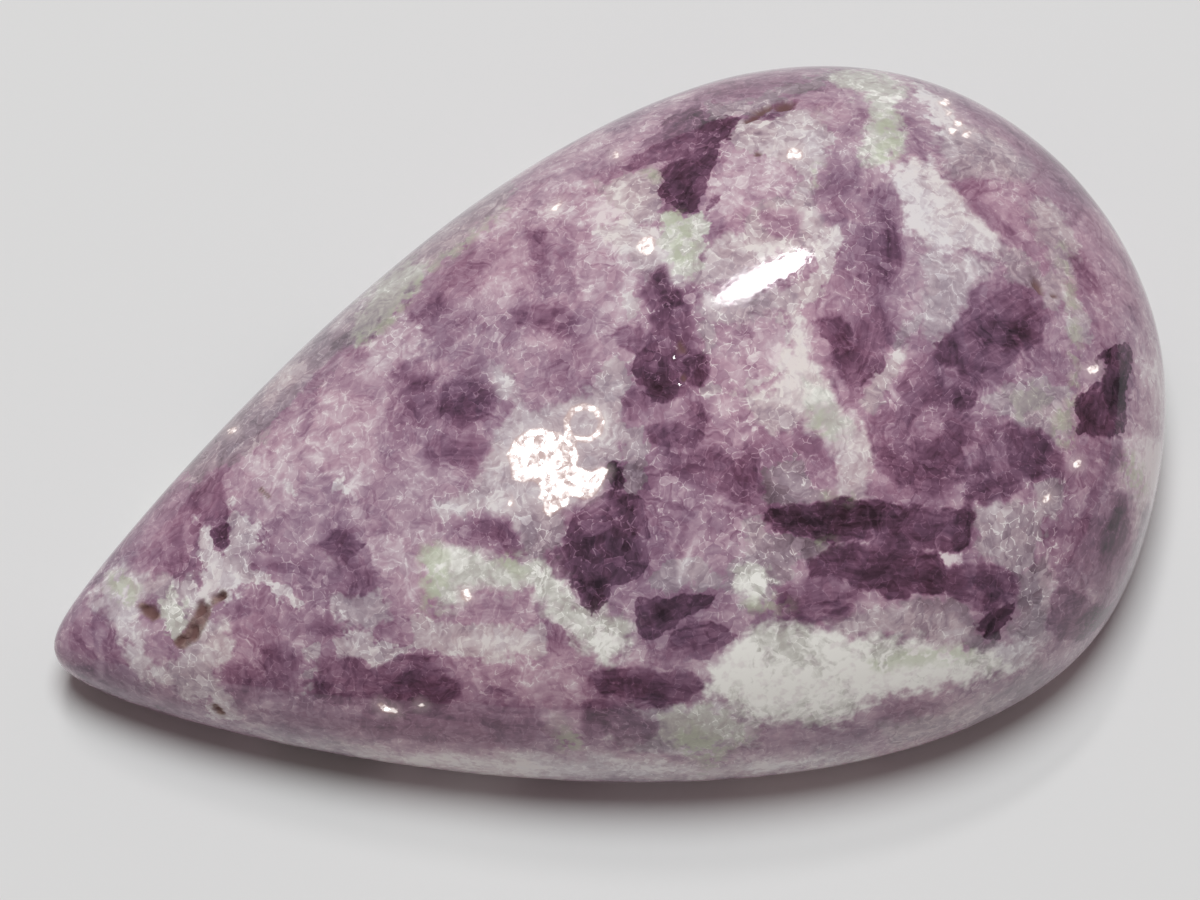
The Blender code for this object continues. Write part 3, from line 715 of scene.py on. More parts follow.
        bankCore=(0.80, 0.30, [(804, 378), (820, 384), (834, 410), (852, 426), (836, 440), (812, 428),
            (802, 402)]),
        underBlock=(0.80, 0.12, [(666, 212), (684, 216), (700, 216), (706, 236), (704, 262), (684, 272),
            (664, 262), (657, 244)]),
        topCap=(0.76, 0.25, [(828, 76), (870, 67), (892, 78), (902, 92), (898, 110), (906, 145), (890, 166),
            (868, 166), (858, 150), (872, 128), (868, 98), (842, 92)]),
        tipChalk=(0.86, 0.12, [(160, 596), (176, 592), (188, 604), (184, 622), (172, 640), (162, 620)]),
        bottomCream=(0.84, 0.2, [(656, 712), (700, 702), (740, 716), (744, 736), (700, 750), (662, 740)]),
        rimCream=(0.66, 0.25, [(352, 318), (372, 290), (392, 270), (410, 256), (420, 262), (426, 278),
            (410, 292), (396, 308), (384, 322), (374, 334), (364, 344), (356, 342)]),
        sandHeart=(0.58, 0.15, [(1012, 394), (1040, 386), (1052, 400), (1048, 416), (1020, 418)]),
    ),
)

# where pale hairlines and crazing crowd together
webZones = [
    (1.0, [(644, 268), (700, 280), (724, 310), (760, 330), (756, 384), (702, 400), (664, 408), (634, 360),
        (640, 320)]),
    (0.9, [(824, 200), (846, 184), (880, 196), (900, 220), (892, 290), (862, 330), (836, 316), (838, 250)]),
    (0.8, [(742, 210), (810, 196), (840, 230), (820, 310), (790, 306), (760, 300), (744, 250)]),
    (0.7, [(382, 400), (420, 380), (500, 372), (512, 400), (470, 440), (400, 436)]),
    (0.6, [(440, 320), (520, 300), (640, 330), (630, 400), (560, 400), (500, 410), (450, 360)]),
    (0.8, [(430, 500), (500, 480), (562, 512), (560, 600), (500, 560), (440, 530)]),
    (0.9, [(560, 510), (640, 496), (644, 560), (600, 612), (640, 640), (600, 664), (560, 610), (540, 560)]),
    (0.7, [(640, 420), (704, 400), (790, 384), (830, 460), (830, 500), (760, 520), (742, 560), (650, 560)]),
    (0.9, [(724, 515), (760, 512), (800, 550), (780, 610), (720, 600)]),
    (0.9, [(968, 500), (1030, 498), (1060, 480), (1096, 540), (1060, 600), (1040, 640), (1000, 580)]),
    (0.7, [(872, 380), (940, 330), (990, 420), (1060, 440), (1060, 490), (960, 500), (880, 470)]),
    (0.8, [(196, 505), (250, 515), (330, 556), (352, 618), (300, 610), (236, 590), (200, 640), (225, 700),
        (180, 690), (160, 620)]),
    (0.6, [(205, 660), (320, 650), (400, 640), (500, 660), (480, 720), (320, 710), (220, 700)]),
    (0.8, [(700, 100), (770, 96), (832, 120), (820, 160), (730, 150), (712, 200), (680, 170)]),
    (0.7, [(600, 180), (660, 170), (700, 214), (706, 262), (664, 268), (610, 230)]),
    (0.7, [(880, 360), (930, 330), (940, 370), (890, 400)]),
    (0.6, [(560, 690), (660, 700), (760, 710), (740, 750), (600, 745)]),
]

# thin streaks: kind, half width in pixels, and their points
streaks = [
    ("green", 4.0, [(362, 340), (382, 328), (402, 306), (414, 286)]),
    ("green", 3.0, [(414, 286), (440, 262), (474, 236), (506, 212)]),
    ("green", 12.0, [(676, 222), (684, 238), (682, 252)]),
    ("green", 5.0, [(650, 172), (657, 178)]),
    ("green", 10.0, [(886, 124), (892, 140), (884, 154)]),
    ("green", 4.0, [(818, 112), (824, 116)]),
    ("green", 4.0, [(817, 168), (824, 178), (818, 184)]),
    ("green", 3.5, [(1062, 250), (1070, 281), (1073, 306), (1076, 346)]),
    ("green", 2.4, [(1076, 345), (1075, 381), (1068, 409), (1073, 445)]),
    ("green", 14.0, [(434, 556), (436, 600)]),
    ("green", 9.0, [(508, 560), (516, 570)]),
    ("green", 7.0, [(874, 664), (920, 658), (966, 652)]),
    ("green", 1.6, [(702, 773), (724, 752), (759, 731)]),
    ("green", 14.0, [(690, 740), (712, 752)]),
    ("green", 8.0, [(790, 606), (752, 606)]),
    ("green", 10.0, [(1128, 462), (1138, 486)]),
    ("green", 3.0, [(816, 544), (834, 541)]),
    ("green", 4.0, [(826, 498), (852, 500)]),
    ("green", 7.0, [(1060, 418), (1064, 440)]),
    ("green", 12.0, [(556, 722), (572, 742)]),
    ("green", 12.0, [(118, 582), (128, 592)]),
    ("green", 5.0, [(818, 412), (822, 430)]),
    ("stain", 8.0, [(182, 642), (192, 634), (199, 622), (203, 612)]),
    ("stain", 5.0, [(142, 606), (154, 618)]),
    ("stain", 4.0, [(214, 602), (224, 594)]),
    ("stain", 3.0, [(214, 706), (224, 715)]),
    ("stain", 3.0, [(262, 488), (266, 498)]),
]

# what fills the face that the photograph doesn't show: how many patches of each mineral lie on the back
backFill = dict(
    seed=11,
    counts=dict(plum=22, blush=8, frost=13, albite=5),
    corners=7,
    middles=((-0.45, -0.5), (0.5, 0.5)),  # in the stone's lengths and widths
    smallest=1.2 * mm,
    largest=4.6 * mm,
    leastReach=0.45,  # how near a corner may come to the middle
    stretch=(1.4, 0.8),
    top=0.75,  # in girdle heights: the patches reach up to here
    warp=(0.35 * mm, 0.9 * mm),  # how far the borders are pushed, over what size
    plumLight=(0.12, 0.42),
    paleLight=(0.6, 0.9),
)

# open pits: pixel, half length, half width, depth and turn in the picture
pits = [
    ((149, 612), 0.50 * mm, 0.30 * mm, 0.26 * mm, -35),
    ((181, 640), 0.30 * mm, 0.20 * mm, 0.20 * mm, 25),
    ((194, 632), 0.42 * mm, 0.22 * mm, 0.25 * mm, 75),
    ((200, 611), 0.44 * mm, 0.24 * mm, 0.32 * mm, 60),
    ((220, 597), 0.32 * mm, 0.22 * mm, 0.40 * mm, 20),
    ((218, 710), 0.28 * mm, 0.12 * mm, 0.15 * mm, -40),
    ((1038, 286), 0.38 * mm, 0.20 * mm, 0.30 * mm, -40),
    ((681, 348), 0.42 * mm, 0.20 * mm, 0.25 * mm, -65),
    ((683, 378), 0.17 * mm, 0.14 * mm, 0.20 * mm, 0),
    ((750, 119), 0.45 * mm, 0.14 * mm, 0.18 * mm, 30),
    ((764, 109), 0.50 * mm, 0.16 * mm, 0.22 * mm, 27),
    ((784, 105), 0.50 * mm, 0.20 * mm, 0.25 * mm, 10),
    ((758, 153), 0.12 * mm, 0.10 * mm, 0.12 * mm, 30),
    ((1054, 295), 0.12 * mm, 0.10 * mm, 0.12 * mm, 0),
]

# mica flakes that mirror the lamp, and carry a painted highlight: their outlines by pixel
flash = dict(
    flakes=[
        [(507, 455), (514, 440), (525, 432), (540, 428), (560, 434), (575, 445), (578, 456), (576, 466),
         (590, 472), (600, 467), (608, 470), (603, 482), (595, 495), (585, 500), (570, 495), (566, 505),
         (556, 512), (548, 517), (543, 510), (545, 500), (538, 498), (544, 490), (534, 480), (522, 482),
         (512, 478), (511, 465)],
        [(637, 246), (641, 239), (650, 236), (655, 240), (653, 250), (647, 255), (640, 251)],
        [(788, 150), (794, 148), (802, 151), (802, 158), (797, 160), (794, 156), (790, 160), (787, 156)],
        [(461, 590), (468, 589), (472, 599), (467, 602), (462, 598)],
        [(511, 495), (515, 506), (508, 506)],
        [(377, 704), (383, 712), (398, 714), (396, 710), (384, 706), (379, 702)],
        [(419, 703), (424, 706), (418, 707)],
        [(228, 430), (236, 427), (236, 432), (229, 434)],
        [(551, 210), (561, 201), (562, 203), (554, 212)],
        [(613, 153), (618, 152), (618, 157), (614, 158)],
        [(938, 102), (948, 100), (950, 105), (941, 107)],
        [(946, 111), (951, 112), (950, 116), (946, 115)],
        [(954, 122), (961, 120), (962, 126), (955, 127)],
        [(964, 131), (971, 132), (968, 138), (963, 136)],
        [(950, 129), (956, 130), (954, 135), (950, 134)],
        [(1042, 498), (1050, 494), (1050, 500), (1044, 503)],
        [(1088, 368), (1096, 366), (1098, 370), (1090, 373)],
        [(1074, 462), (1080, 460), (1080, 466), (1075, 467)],
    ],
    rings=[
        (2.6, [(567, 420), (573, 410), (584, 406), (596, 410), (602, 422), (599, 433), (588, 440), (574, 438),
            (567, 430), (567, 420)]),
    ],
)


# distance in pixels to a line of points, and whether a point is inside it when it is closed
def lineDistance(across, down, corners, closed):
    nearest = np.full(len(across), np.inf)
    inside = np.zeros(len(across), bool)
    ends = corners[1:] + corners[:1] if closed else corners[1:]
    for (x0, y0), (x1, y1) in zip(corners, ends):
        runX, runY = x1 - x0, y1 - y0
        along = np.clip(((across - x0) * runX + (down - y0) * runY) / max(runX**2 + runY**2, 1e-9), 0, 1)
        nearest = np.minimum(nearest, np.hypot(across - x0 - along * runX, down - y0 - along * runY))
        if y0 != y1:
            crossing = (y0 > down) != (y1 > down)
            inside ^= crossing & (across < x0 + (down - y0) * runX / runY)
    return nearest, inside


def outlineField(across, down, corners):
    nearest, inside = lineDistance(across, down, corners, True)
    return np.where(inside, nearest, -nearest)


# how the drawn borders are made ragged, in mm unless it says otherwise
borders = dict(
    warp=[(4.5, 1.0 * mm, (1, 3)), (2.2, 0.42 * mm, (2, 4))],  # (pixels, size, seeds across and down)
    depth=5.5 * mm,  # how far a patch seen on the dome goes into the stone
    farOff=-4.0,  # the field of a point that lies outside every patch
    leastSoft=0.06,
    chanceSoft=(0.03, 0.16),  # the least, and how much chance adds
    chance=(1.6 * mm, 9),  # size and seed
)
noTone = 0.5  # how light a mineral is where it has no patch


def farField(points):
    return np.full(len(points), borders["farOff"])


# the picture's pixels, pushed about so that what is drawn on them gets a ragged border
def warpedPixels(points, across, down):
    for pixels, size, (seedAcross, seedDown) in borders["warp"]:
        across = across + pixels * lumps(points, size, seedAcross)
        down = down + pixels * lumps(points, size, seedDown)
    return across, down


# how far along and across its own book each point lies, in mm
def leafPlaces(books, places):
    leaf, field = places, farField(places[0])
    for corners, shape in books:
        _, heading = np.linalg.eigh(np.cov(np.array(corners).T))
        leaf = np.where((shape > field) | (shape > 0), heading[:, ::-1].T @ places, leaf)
        field = np.maximum(field, shape)
    return leaf


# where each mineral lies, in mm inside its border, how light it is and how soft its edge
def mineralFields(points, across, down, depth):
    warpX, warpY = warpedPixels(points, across, down)
    above = aboveGirdle(points)
    least, more = borders["chanceSoft"]
    byChance = least + more * eased(lumps(points, *borders["chance"]), -0.2, 0.5)
    fields, books = {}, []
    for kind, patches in minerals.items():
        field, tone, soft = farField(points), np.full(len(points), noTone), byChance
        shapes = []
        for light, softness, corners in patches.values():
            middleX, middleY = np.mean(corners, axis=0)
            near = np.argmin(np.where(above, np.hypot(across - middleX, down - middleY), np.inf))
            shape = outlineField(warpX, warpY, corners) / pixelsPerMm
            shape = np.minimum(shape, (borders["depth"] - np.abs(depth - depth[near])) / mm)
            nearer = shape > field
            tone = np.where(nearer, light, tone)
            soft = np.where(nearer, softness or byChance, soft)
            field = np.maximum(field, shape)
            shapes.append((light, max(softness, borders["leastSoft"]), shape))
            if kind == "plum":
                books.append((corners, shape))
        for light, half, shape in shapes:
            tone += (light - tone) * eased(shape, -half, half)
        fields[kind] = (field, tone, soft)
    places = np.array([warpX - camera["targetPixel"][0], warpY - camera["targetPixel"][1]]) / pixelsPerMm
    return fields, leafPlaces(books, places)


# the web of hairlines everywhere: how strong it is, what chance adds, and how ragged and soft its zones are
webSpread = dict(least=0.38, more=0.25, chance=(2.2 * mm, 70), warpPixels=9, warpSize=1.2 * mm, soft=0.35)


def webField(points, across, down):
    web = webSpread["least"] + webSpread["more"] * np.clip(lumps(points, *webSpread["chance"]), 0, 1)
    warpX = across + webSpread["warpPixels"] * lumps(points, webSpread["warpSize"], 71)
    warpY = down + webSpread["warpPixels"] * lumps(points, webSpread["warpSize"], 72)
    for strength, corners in webZones:
        zone = outlineField(warpX, warpY, corners) / pixelsPerMm
        inside = eased(zone, -webSpread["soft"], webSpread["soft"])
        web = np.maximum(web, strength * inside * aboveGirdle(points))
    return web


def fillBack(points, fields):
    dice = np.random.default_rng(backFill["seed"])
    push, size = backFill["warp"]
    warpX, warpY = points[:, 0] + push * lumps(points, size, 5), points[:, 1] + push * lumps(points, size, 6)
    under = (stone["girdleHeight"] * backFill["top"] - points[:, 2]) / mm
    for kind, count in backFill["counts"].items():
        field, tone, soft = fields[kind]
        for _ in range(count):
            middle = dice.uniform(*backFill["middles"]) * (stone["length"], stone["width"])
            size = dice.uniform(backFill["smallest"], backFill["largest"])
            turns = np.sort(dice.uniform(0, 2 * math.pi, backFill["corners"]))
            reach = size * dice.uniform(backFill["leastReach"], 1.0, backFill["corners"])
            offX = backFill["stretch"][0] * reach * np.cos(turns)
            offY = backFill["stretch"][1] * reach * np.sin(turns)
            light = dice.uniform(*backFill["plumLight" if kind == "plum" else "paleLight"])
            outline = list(zip(middle[0] + offX, middle[1] + offY))
            patch = np.minimum(outlineField(warpX, warpY, outline) / mm, under)
            wins = patch > field
            tone[wins], soft[wins], field[wins] = light, borders["leastSoft"], patch[wins]


def streakFields(points, across, down):
    fields = dict(green=farField(points), stain=farField(points))
    wander = 2.0 * lumps(points, 0.5 * mm, 7)
    for kind, half, corners in streaks:
        nearest, _ = lineDistance(across + wander, down - wander, corners, False)
        fields[kind] = np.maximum(fields[kind], (half - nearest) / pixelsPerMm)
    return fields


def flashField(points, across, down):
    field = farField(points)
    for corners in flash["flakes"]:
        field = np.maximum(field, outlineField(across, down, corners) / pixelsPerMm)
    for half, corners in flash["rings"]:
        nearest, _ = lineDistance(across, down, corners, False)
        field = np.maximum(field, (half - nearest) / pixelsPerMm)
    return np.where(aboveGirdle(points), field, borders["farOff"])


# broad soft regions of the photograph, some of them painted glare and sheen: middle pixel, half length, half
# width, turn, and how much lighter and warmer each makes the mica
washes = [
    ((550, 230), 120, 60, 35, 0.09, 0.3),
    ((560, 365), 60, 30, 0, 0.05, 0.2),
    # painted glare: lighter and warmer around the lamp's highlight on the dome
    ((740, 262), 50, 20, 10, 0.03, 0.1),
    ((780, 335), 26, 40, 0, 0.08, 0.0),
    ((800, 670), 90, 30, 0, 0.10, 0.0),
    ((160, 600), 60, 40, 0, 0.07, 0.1),
    ((1015, 655), 30, 20, 30, 0.10, 0.0),
    # painted sheen: thin lighter bands along the lower rims, where the stone turns under and mirrors the
    # floor
    ((640, 765), 260, 14, 0, 0.16, 0.0),
    ((950, 720), 130, 16, 30, 0.06, 0.0),
    ((1150, 420), 18, 60, 0, 0.08, 0.2),
    ((240, 620), 60, 60, 0, 0.04, 0.1),
]


# what makes the mica uneven: a stirring has a size, a reach and a seed, and a cloud how much lighter it is,
# a size and a seed
clouds = dict(
    bend=(2.6 * mm, 1.3 * mm, 30),
    curl=(0.9 * mm, 0.45 * mm, 40),
    broad=(0.11, 3.0 * mm, 50),
    curled=[(0.10, 1.4 * mm, 51), (0.07, 0.70 * mm, 52), (0.05, 0.35 * mm, 53)],
    bigBooks=dict(stir=(1.2 * mm, 0.35 * mm, 60), cells=(2.3 * mm, 61), lighter=0.075),
    smallBooks=dict(stir=(0.6 * mm, 0.22 * mm, 62), cells=(0.95 * mm, 63), lighter=0.05),
    veins=dict(line=(2.0 * mm, 54), kept=(1.7 * mm, 55), width=0.10, lighter=0.16),
    warmth=(0.55, 4.2 * mm, 56),
)


# where a point lies in a turned oval, in its half lengths and half widths
def ovalShares(offX, offY, halfLong, halfWide, turn):
    cosine, sine = math.cos(math.radians(turn)), math.sin(math.radians(turn))
    return (offX * cosine + offY * sine) / halfLong, (offY * cosine - offX * sine) / halfWide


# clouds, books and veins: lightness to add, warmth from 0 to 1, and how far the joints of the books are
def micaClouds(points, across, down):
    big, small, veins = clouds["bigBooks"], clouds["smallBooks"], clouds["veins"]
    bent = stirred(points, *clouds["bend"])
    curled = stirred(bent, *clouds["curl"])
    lighter, *spot = clouds["broad"]
    cloud = lighter * lumps(bent, *spot)
    for lighter, *spot in clouds["curled"]:
        cloud += lighter * lumps(curled, *spot)
    bigShade, bigEdge = bookCells(stirred(points, *big["stir"]), *big["cells"])
    smallShade, smallEdge = bookCells(stirred(points, *small["stir"]), *small["cells"])
    cloud += big["lighter"] * bigShade + small["lighter"] * smallShade
    line = np.clip(1 - np.abs(lumps(curled, *veins["line"])) / veins["width"], 0, 1)
    line *= np.clip(lumps(bent, *veins["kept"]) * 2, 0, 1)
    warmer, *spot = clouds["warmth"]
    warmth = 0.5 + warmer * lumps(bent, *spot) + 0.2 * bigShade
    # broad washes, some of them painted glare round the highlight and painted sheen along the rims
    for (x, y), halfLong, halfWide, turn, lighter, warmer in washes:
        away = np.hypot(*ovalShares(across - x, y - down, halfLong, halfWide, turn))
        share = eased(1.5 - away, 0, 1) * (points[:, 2] > stone["girdleHeight"] * 0.5)
        cloud += lighter * share
        warmth += warmer * share
    joint = np.minimum(bigEdge * 2.3, smallEdge * 0.95 + 0.03)
    return cloud + veins["lighter"] * line, np.clip(warmth, 0, 1), joint


# how much each point lies in a pit, from 0 to 1, and the metres to sink it
def sinkPits(points, across, down):
    share = np.zeros(len(points))
    sink = np.zeros(len(points))
    ragged = 1 + 0.45 * lumps(points, 0.30 * mm, 8)
    perPixel = mm / pixelsPerMm
    for (x, y), halfLong, halfWide, depth, turn in pits:
        offX, offY = (across - x) * perPixel, (y - down) * perPixel
        inside = 1 - np.hypot(*ovalShares(offX, offY, halfLong, halfWide, turn)) * ragged
        bowl = eased(inside * 2.2, 0, 1) * aboveGirdle(points)
        share = np.maximum(share, bowl)
        sink = np.maximum(sink, bowl * depth * 0.7)
    return share, sink


def storeValues(mesh, name, values):
    layer = mesh.attributes.new(name, "FLOAT", "POINT")
    layer.data.foreach_set("value", values.astype(np.float32))


# one island for the dome and girdle, spread out from its top, and one for the flat back
islands = dict(domeScale=0.47, domeMiddle=(0.5, 0.67), backScale=0.34, backMiddle=(0.5, 0.18))


def mapStone(mesh, points, polar):
    spread = np.minimum(polar / stone["backAngle"], 1)
    plan = points[:, :2] / (stone["length"] / 2)
    flatReach = np.sin(np.minimum(polar / stone["girdleAngle"], 1) * math.pi / 2)
    fan = np.array([stone["fanCentre"] / (stone["length"] / 2), 0])
    ratio = (spread / np.maximum(flatReach, 1e-6))[:, None]
    domeMap = fan + (plan - fan) * ratio
    corner = np.empty(len(mesh.loops), int)
    mesh.loops.foreach_get("vertex_index", corner)
    size = np.empty(len(mesh.polygons), int)
    mesh.polygons.foreach_get("loop_total", size)
    facePolar = np.add.reduceat(polar[corner], np.concatenate([[0], np.cumsum(size)[:-1]])) / size
    isBack = np.repeat(facePolar > stone["backAngle"], size)
    domePlace = domeMap[corner] * islands["domeScale"] + islands["domeMiddle"]
    backPlace = plan[corner] * islands["backScale"] + islands["backMiddle"]
    layer = mesh.uv_layers.new(name="OFBake")
    layer.data.foreach_set("uv", np.where(isBack[:, None], backPlace, domePlace).ravel())


def shapeStone(piece):
    mesh = piece.data
    polar = np.empty(len(mesh.vertices))
    mesh.attributes["polar"].data.foreach_get("value", polar)
    writePoints(mesh, grindByHand(readPoints(mesh)))
    mapStone(mesh, readPoints(mesh), polar)
    points, normals = readPoints(mesh), readVectors(mesh.vertex_normals, "vector")
    across, down, depth = photoPixels(points)
    print("stone shaped:", len(points), "points")

    fields, leaf = mineralFields(points, across, down, depth)
    fillBack(points, fields)
    for kind, values in fields.items():
        for label, value in zip(("Field", "Tone", "Soft"), values):
            storeValues(mesh, kind + label, value)
    for kind, field in streakFields(points, across, down).items():
        storeValues(mesh, kind + "Field", field)
    storeValues(mesh, "flashField", flashField(points, across, down))
    storeValues(mesh, "web", webField(points, across, down))
    for name, value in zip(("alongLeaf", "acrossLeaf"), leaf):
        storeValues(mesh, name, value)
    for name, value in zip(("cloud", "warmth", "joint"), micaClouds(points, across, down)):
        storeValues(mesh, name, value)
    pitShare, sink = sinkPits(points, across, down)
    storeValues(mesh, "pitShare", pitShare)
    print("minerals laid out")

    free = np.clip(points[:, 2] / grinding["backMargin"], 0, 1)  # the flat back stays flat
    rise = -sink
    for length, height, seed in grinding["waviness"]:
        rise += height * lumps(points, length, seed)
    softer = np.clip(fields["plum"][0] / 0.2, 0, 1)
    rise -= grinding["plumWear"] * softer
    writePoints(mesh, points + normals * (rise * free)[:, None])
    mesh.attributes.remove(mesh.attributes["polar"])
    mesh.polygons.foreach_set("use_smooth", np.ones(len(mesh.polygons), bool))
    mesh.update()
    return normals


# a screen colour's channel, from 0 to 255, as an amount of light
def linear(channel):
    share = channel / 255
    return ((share + 0.055) / 1.055) ** 2.4 if channel > 10 else share / 12.92


def tint(red, green, blue):
    return (linear(red), linear(green), linear(blue), 1.0)


# colours of the minerals, as seen on screen from 0 to 255
mica = dict(
    coolSteps=[(0.00, (44, 32, 44)), (0.15, (80, 58, 76)), (0.30, (106, 76, 100)), (0.45, (134, 102, 126)),
               (0.60, (158, 130, 150)), (0.75, (184, 160, 174)), (0.90, (208, 192, 200)),
               (1.00, (228, 218, 222))],
    warmSteps=[(0.00, (50, 28, 38)), (0.15, (82, 50, 68)), (0.30, (114, 74, 98)), (0.45, (146, 104, 128)),
               (0.60, (172, 134, 154)), (0.75, (196, 162, 177)), (0.90, (216, 194, 202)),
               (1.00, (232, 218, 220))],
    baseTone=0.62,
)
frostSteps = dict(
    cool=[(0.30, (104, 90, 100)), (0.60, (157, 143, 154)), (0.75, (186, 174, 182)), (0.90, (212, 204, 210)),
          (1.00, (230, 226, 228))],
    warm=[(0.30, (108, 90, 96)), (0.60, (162, 141, 151)), (0.75, (194, 174, 178)), (0.90, (216, 203, 203)),
          (1.00, (234, 226, 222))],
)
albiteSteps = [(0.40, (150, 138, 144)), (0.65, (184, 176, 172)), (0.80, (202, 200, 193)),
               (1.00, (252, 251, 245))]
stainSteps = [(0.30, (164, 138, 128)), (0.60, (110, 84, 78))]
greenColour = (182, 192, 160)
pitColour = (116, 86, 84)
# painted highlight on the mirroring flakes: its white, its pinkish-orange fringe and the glow around it
flashColour = (250, 240, 236)
glintFringeColour = (206, 160, 142)
glowColour = (232, 214, 214)

# what lies in the minerals; sizes, widths and spacings in mm
hairlines = dict(Size=1.35, Width=0.020, Curl=0.4, Gaps=0.48)
crushedShards = dict(Size=0.36, Width=0.070)
leafLines = dict(Size=0.95, Spacing=0.17)
leafStretch = (0.55, 4.6)  # how fine the streaks of a book are, along its leaves and across them

# how much lighter each of them makes the stone, from 0 to 1
lightening = dict(
    fleck=0.26, leafShade=0.08, leafLine=0.30, shard=0.10, hairline=0.17, shardEdge=0.44, paleShard=0.10,
    joint=0.05, shadeBesidePlum=-0.07, plumCore=-0.07, plumStreak=0.34,
)

# how ragged each border is, in mm, how soft those of the streaks and flakes are, and how well each covers
raggedness = dict(plum=0.60, blush=0.9, frost=1.2, albite=1.4, green=0.7, stain=0.4, flash=0.30)
edgeSoft = dict(green=0.28, stain=0.10, flash=0.05)
covering = dict(frost=0.8, albite=0.78, green=0.5, stain=0.85)

# the noises: size in mm, detail, roughness and twist
grain = dict(
    swirl=(0.8, 2.0, 0.55), fleck=(0.30, 3.0, 0.60, 0.4), gap=(0.9, 2.0, 0.55),
    streak=(1.0, 2.0, 0.6, 0.5), ragged=(0.5, 2.0, 0.6), ripple=(0.30, 1.0),
)

# the polish, and how the flakes shine: glint sets their painted glow, painted highlight and painted fringe
polish = dict(
    refraction=1.56, roughness=0.05, frostRoughness=0.04, specular=0.5, ripple=0.05, rippleDepth=0.05 * mm,
)
pitFace = dict(roughness=0.85, specular=0.05, cover=0.9)
glint = dict(halo=0.30, bed=0.65, fringe=0.30, cover=0.95, glow=0.4)


def mixed(tree, kind, factor, below, above):
    node = tree.nodes.new("ShaderNodeMix")
    node.data_type = kind
    for label, value in (("Factor", factor), ("A", below), ("B", above)):
        feed(tree, node.inputs[label], value)
    return node.outputs["Result"]


def mixColour(tree, factor, below, above):
    return mixed(tree, "RGBA", factor, below, above)


def mixNumber(tree, factor, below, above):
    return mixed(tree, "FLOAT", factor, below, above)


def steps(tree, value, colours):
    ramp = tree.nodes.new("ShaderNodeValToRGB")
    stops = ramp.color_ramp.elements
    while len(stops) < len(colours):
        stops.new(0.5)
    for stop, (place, colour) in zip(stops, colours):
        stop.position, stop.color = place, tint(*colour)
    feed(tree, ramp.inputs[0], value)
    return ramp.outputs["Color"]


def smooth(tree, value, start, end):
    node = tree.nodes.new("ShaderNodeMapRange")
    node.interpolation_type = "SMOOTHSTEP"
    for label, given in (("Value", value), ("From Min", start), ("From Max", end)):
        feed(tree, node.inputs[label], given)
    return node.outputs[0]


def noise(tree, place, size, detail=2.0, rough=0.5, twist=0.0, output="Fac"):
    node = tree.nodes.new("ShaderNodeTexNoise")
    feed(tree, node.inputs["Vector"], place)
    scale = 1.0 / size if isinstance(size, float) else calc(tree, "DIVIDE", 1.0, size)
    feed(tree, node.inputs["Scale"], scale)
    for label, given in (("Detail", detail), ("Roughness", rough), ("Distortion", twist)):
        feed(tree, node.inputs[label], given)
    return node.outputs[output]


def shifted(tree, place, offset):
    return vectorCalc(tree, "ADD", place, offset)


# fine curled hairlines, where the gap noise leaves them
def curlyWispsGroup():
    inputs = [("Place", "NodeSocketVector"), ("Size", number), ("Width", number), ("Curl", number),
              ("Gap", number), ("Gaps", number)]
    tree, given, result = openGroup("curlyWisps", "ShaderNodeTree", inputs, [("Mask", number)])
    wave = noise(tree, given["Place"], given["Size"], 1.0, 0.5, given["Curl"])
    offLine = calc(tree, "ABSOLUTE", calc(tree, "SUBTRACT", wave, 0.5))
    line = smooth(tree, calc(tree, "DIVIDE", offLine, given["Width"]), 1.0, 0.0)
    kept = smooth(tree, given["Gap"], given["Gaps"], calc(tree, "ADD", given["Gaps"], 0.10))
    feed(tree, result["Mask"], calc(tree, "MULTIPLY", line, kept))
    return tree


# a mineral's border: its outline's field in mm, pushed about by noise, and how soft it is
def mineralBorderGroup():
    inputs = [("Field", number), ("Coarse", number), ("Fine", number), ("Ragged", number), ("Soft", number)]
    tree, given, result = openGroup("mineralBorder", "ShaderNodeTree", inputs, [("Mask", number)])
    rough = calc(tree, "MULTIPLY_ADD", given["Fine"], 0.16, given["Coarse"])
    pushed = calc(tree, "MULTIPLY_ADD", calc(tree, "SUBTRACT", rough, 0.58), given["Ragged"], given["Field"])
    outside = calc(tree, "MULTIPLY", given["Soft"], -1.0)
    feed(tree, result["Mask"], smooth(tree, pushed, outside, given["Soft"]))
    return tree


# mica leaves seen edge on: short parallel lines, turned another way in each crystal
def leafEdgesGroup():
    inputs = [("Place", "NodeSocketVector"), ("Size", number), ("Spacing", number)]
    outputs = [("Line", number), ("Shade", number)]
    tree, given, result = openGroup("leafEdges", "ShaderNodeTree", inputs, outputs)
    crystals = tree.nodes.new("ShaderNodeTexVoronoi")
    feed(tree, crystals.inputs["Vector"], given["Place"])
    feed(tree, crystals.inputs["Scale"], calc(tree, "DIVIDE", 1.0, given["Size"]))
    facing = vectorCalc(tree, "MULTIPLY_ADD", crystals.outputs["Color"], (2, 2, 0.6), (-1, -1, -0.3))
    across = vectorCalc(tree, "DOT_PRODUCT", facing, given["Place"], output="Value")
    lines = tree.nodes.new("ShaderNodeTexNoise")
    lines.noise_dimensions = "1D"
    feed(tree, lines.inputs["W"], across)
    feed(tree, lines.inputs["Scale"], calc(tree, "DIVIDE", 1.0, given["Spacing"]))
    lines.inputs["Detail"].default_value = 1.0
    feed(tree, result["Line"], calc(tree, "SUBTRACT", lines.outputs["Fac"], 0.5))
    _, _, blue = apart(tree, "ShaderNodeSeparateColor", crystals.outputs["Color"])
    feed(tree, result["Shade"], calc(tree, "SUBTRACT", blue, 0.5))
    return tree


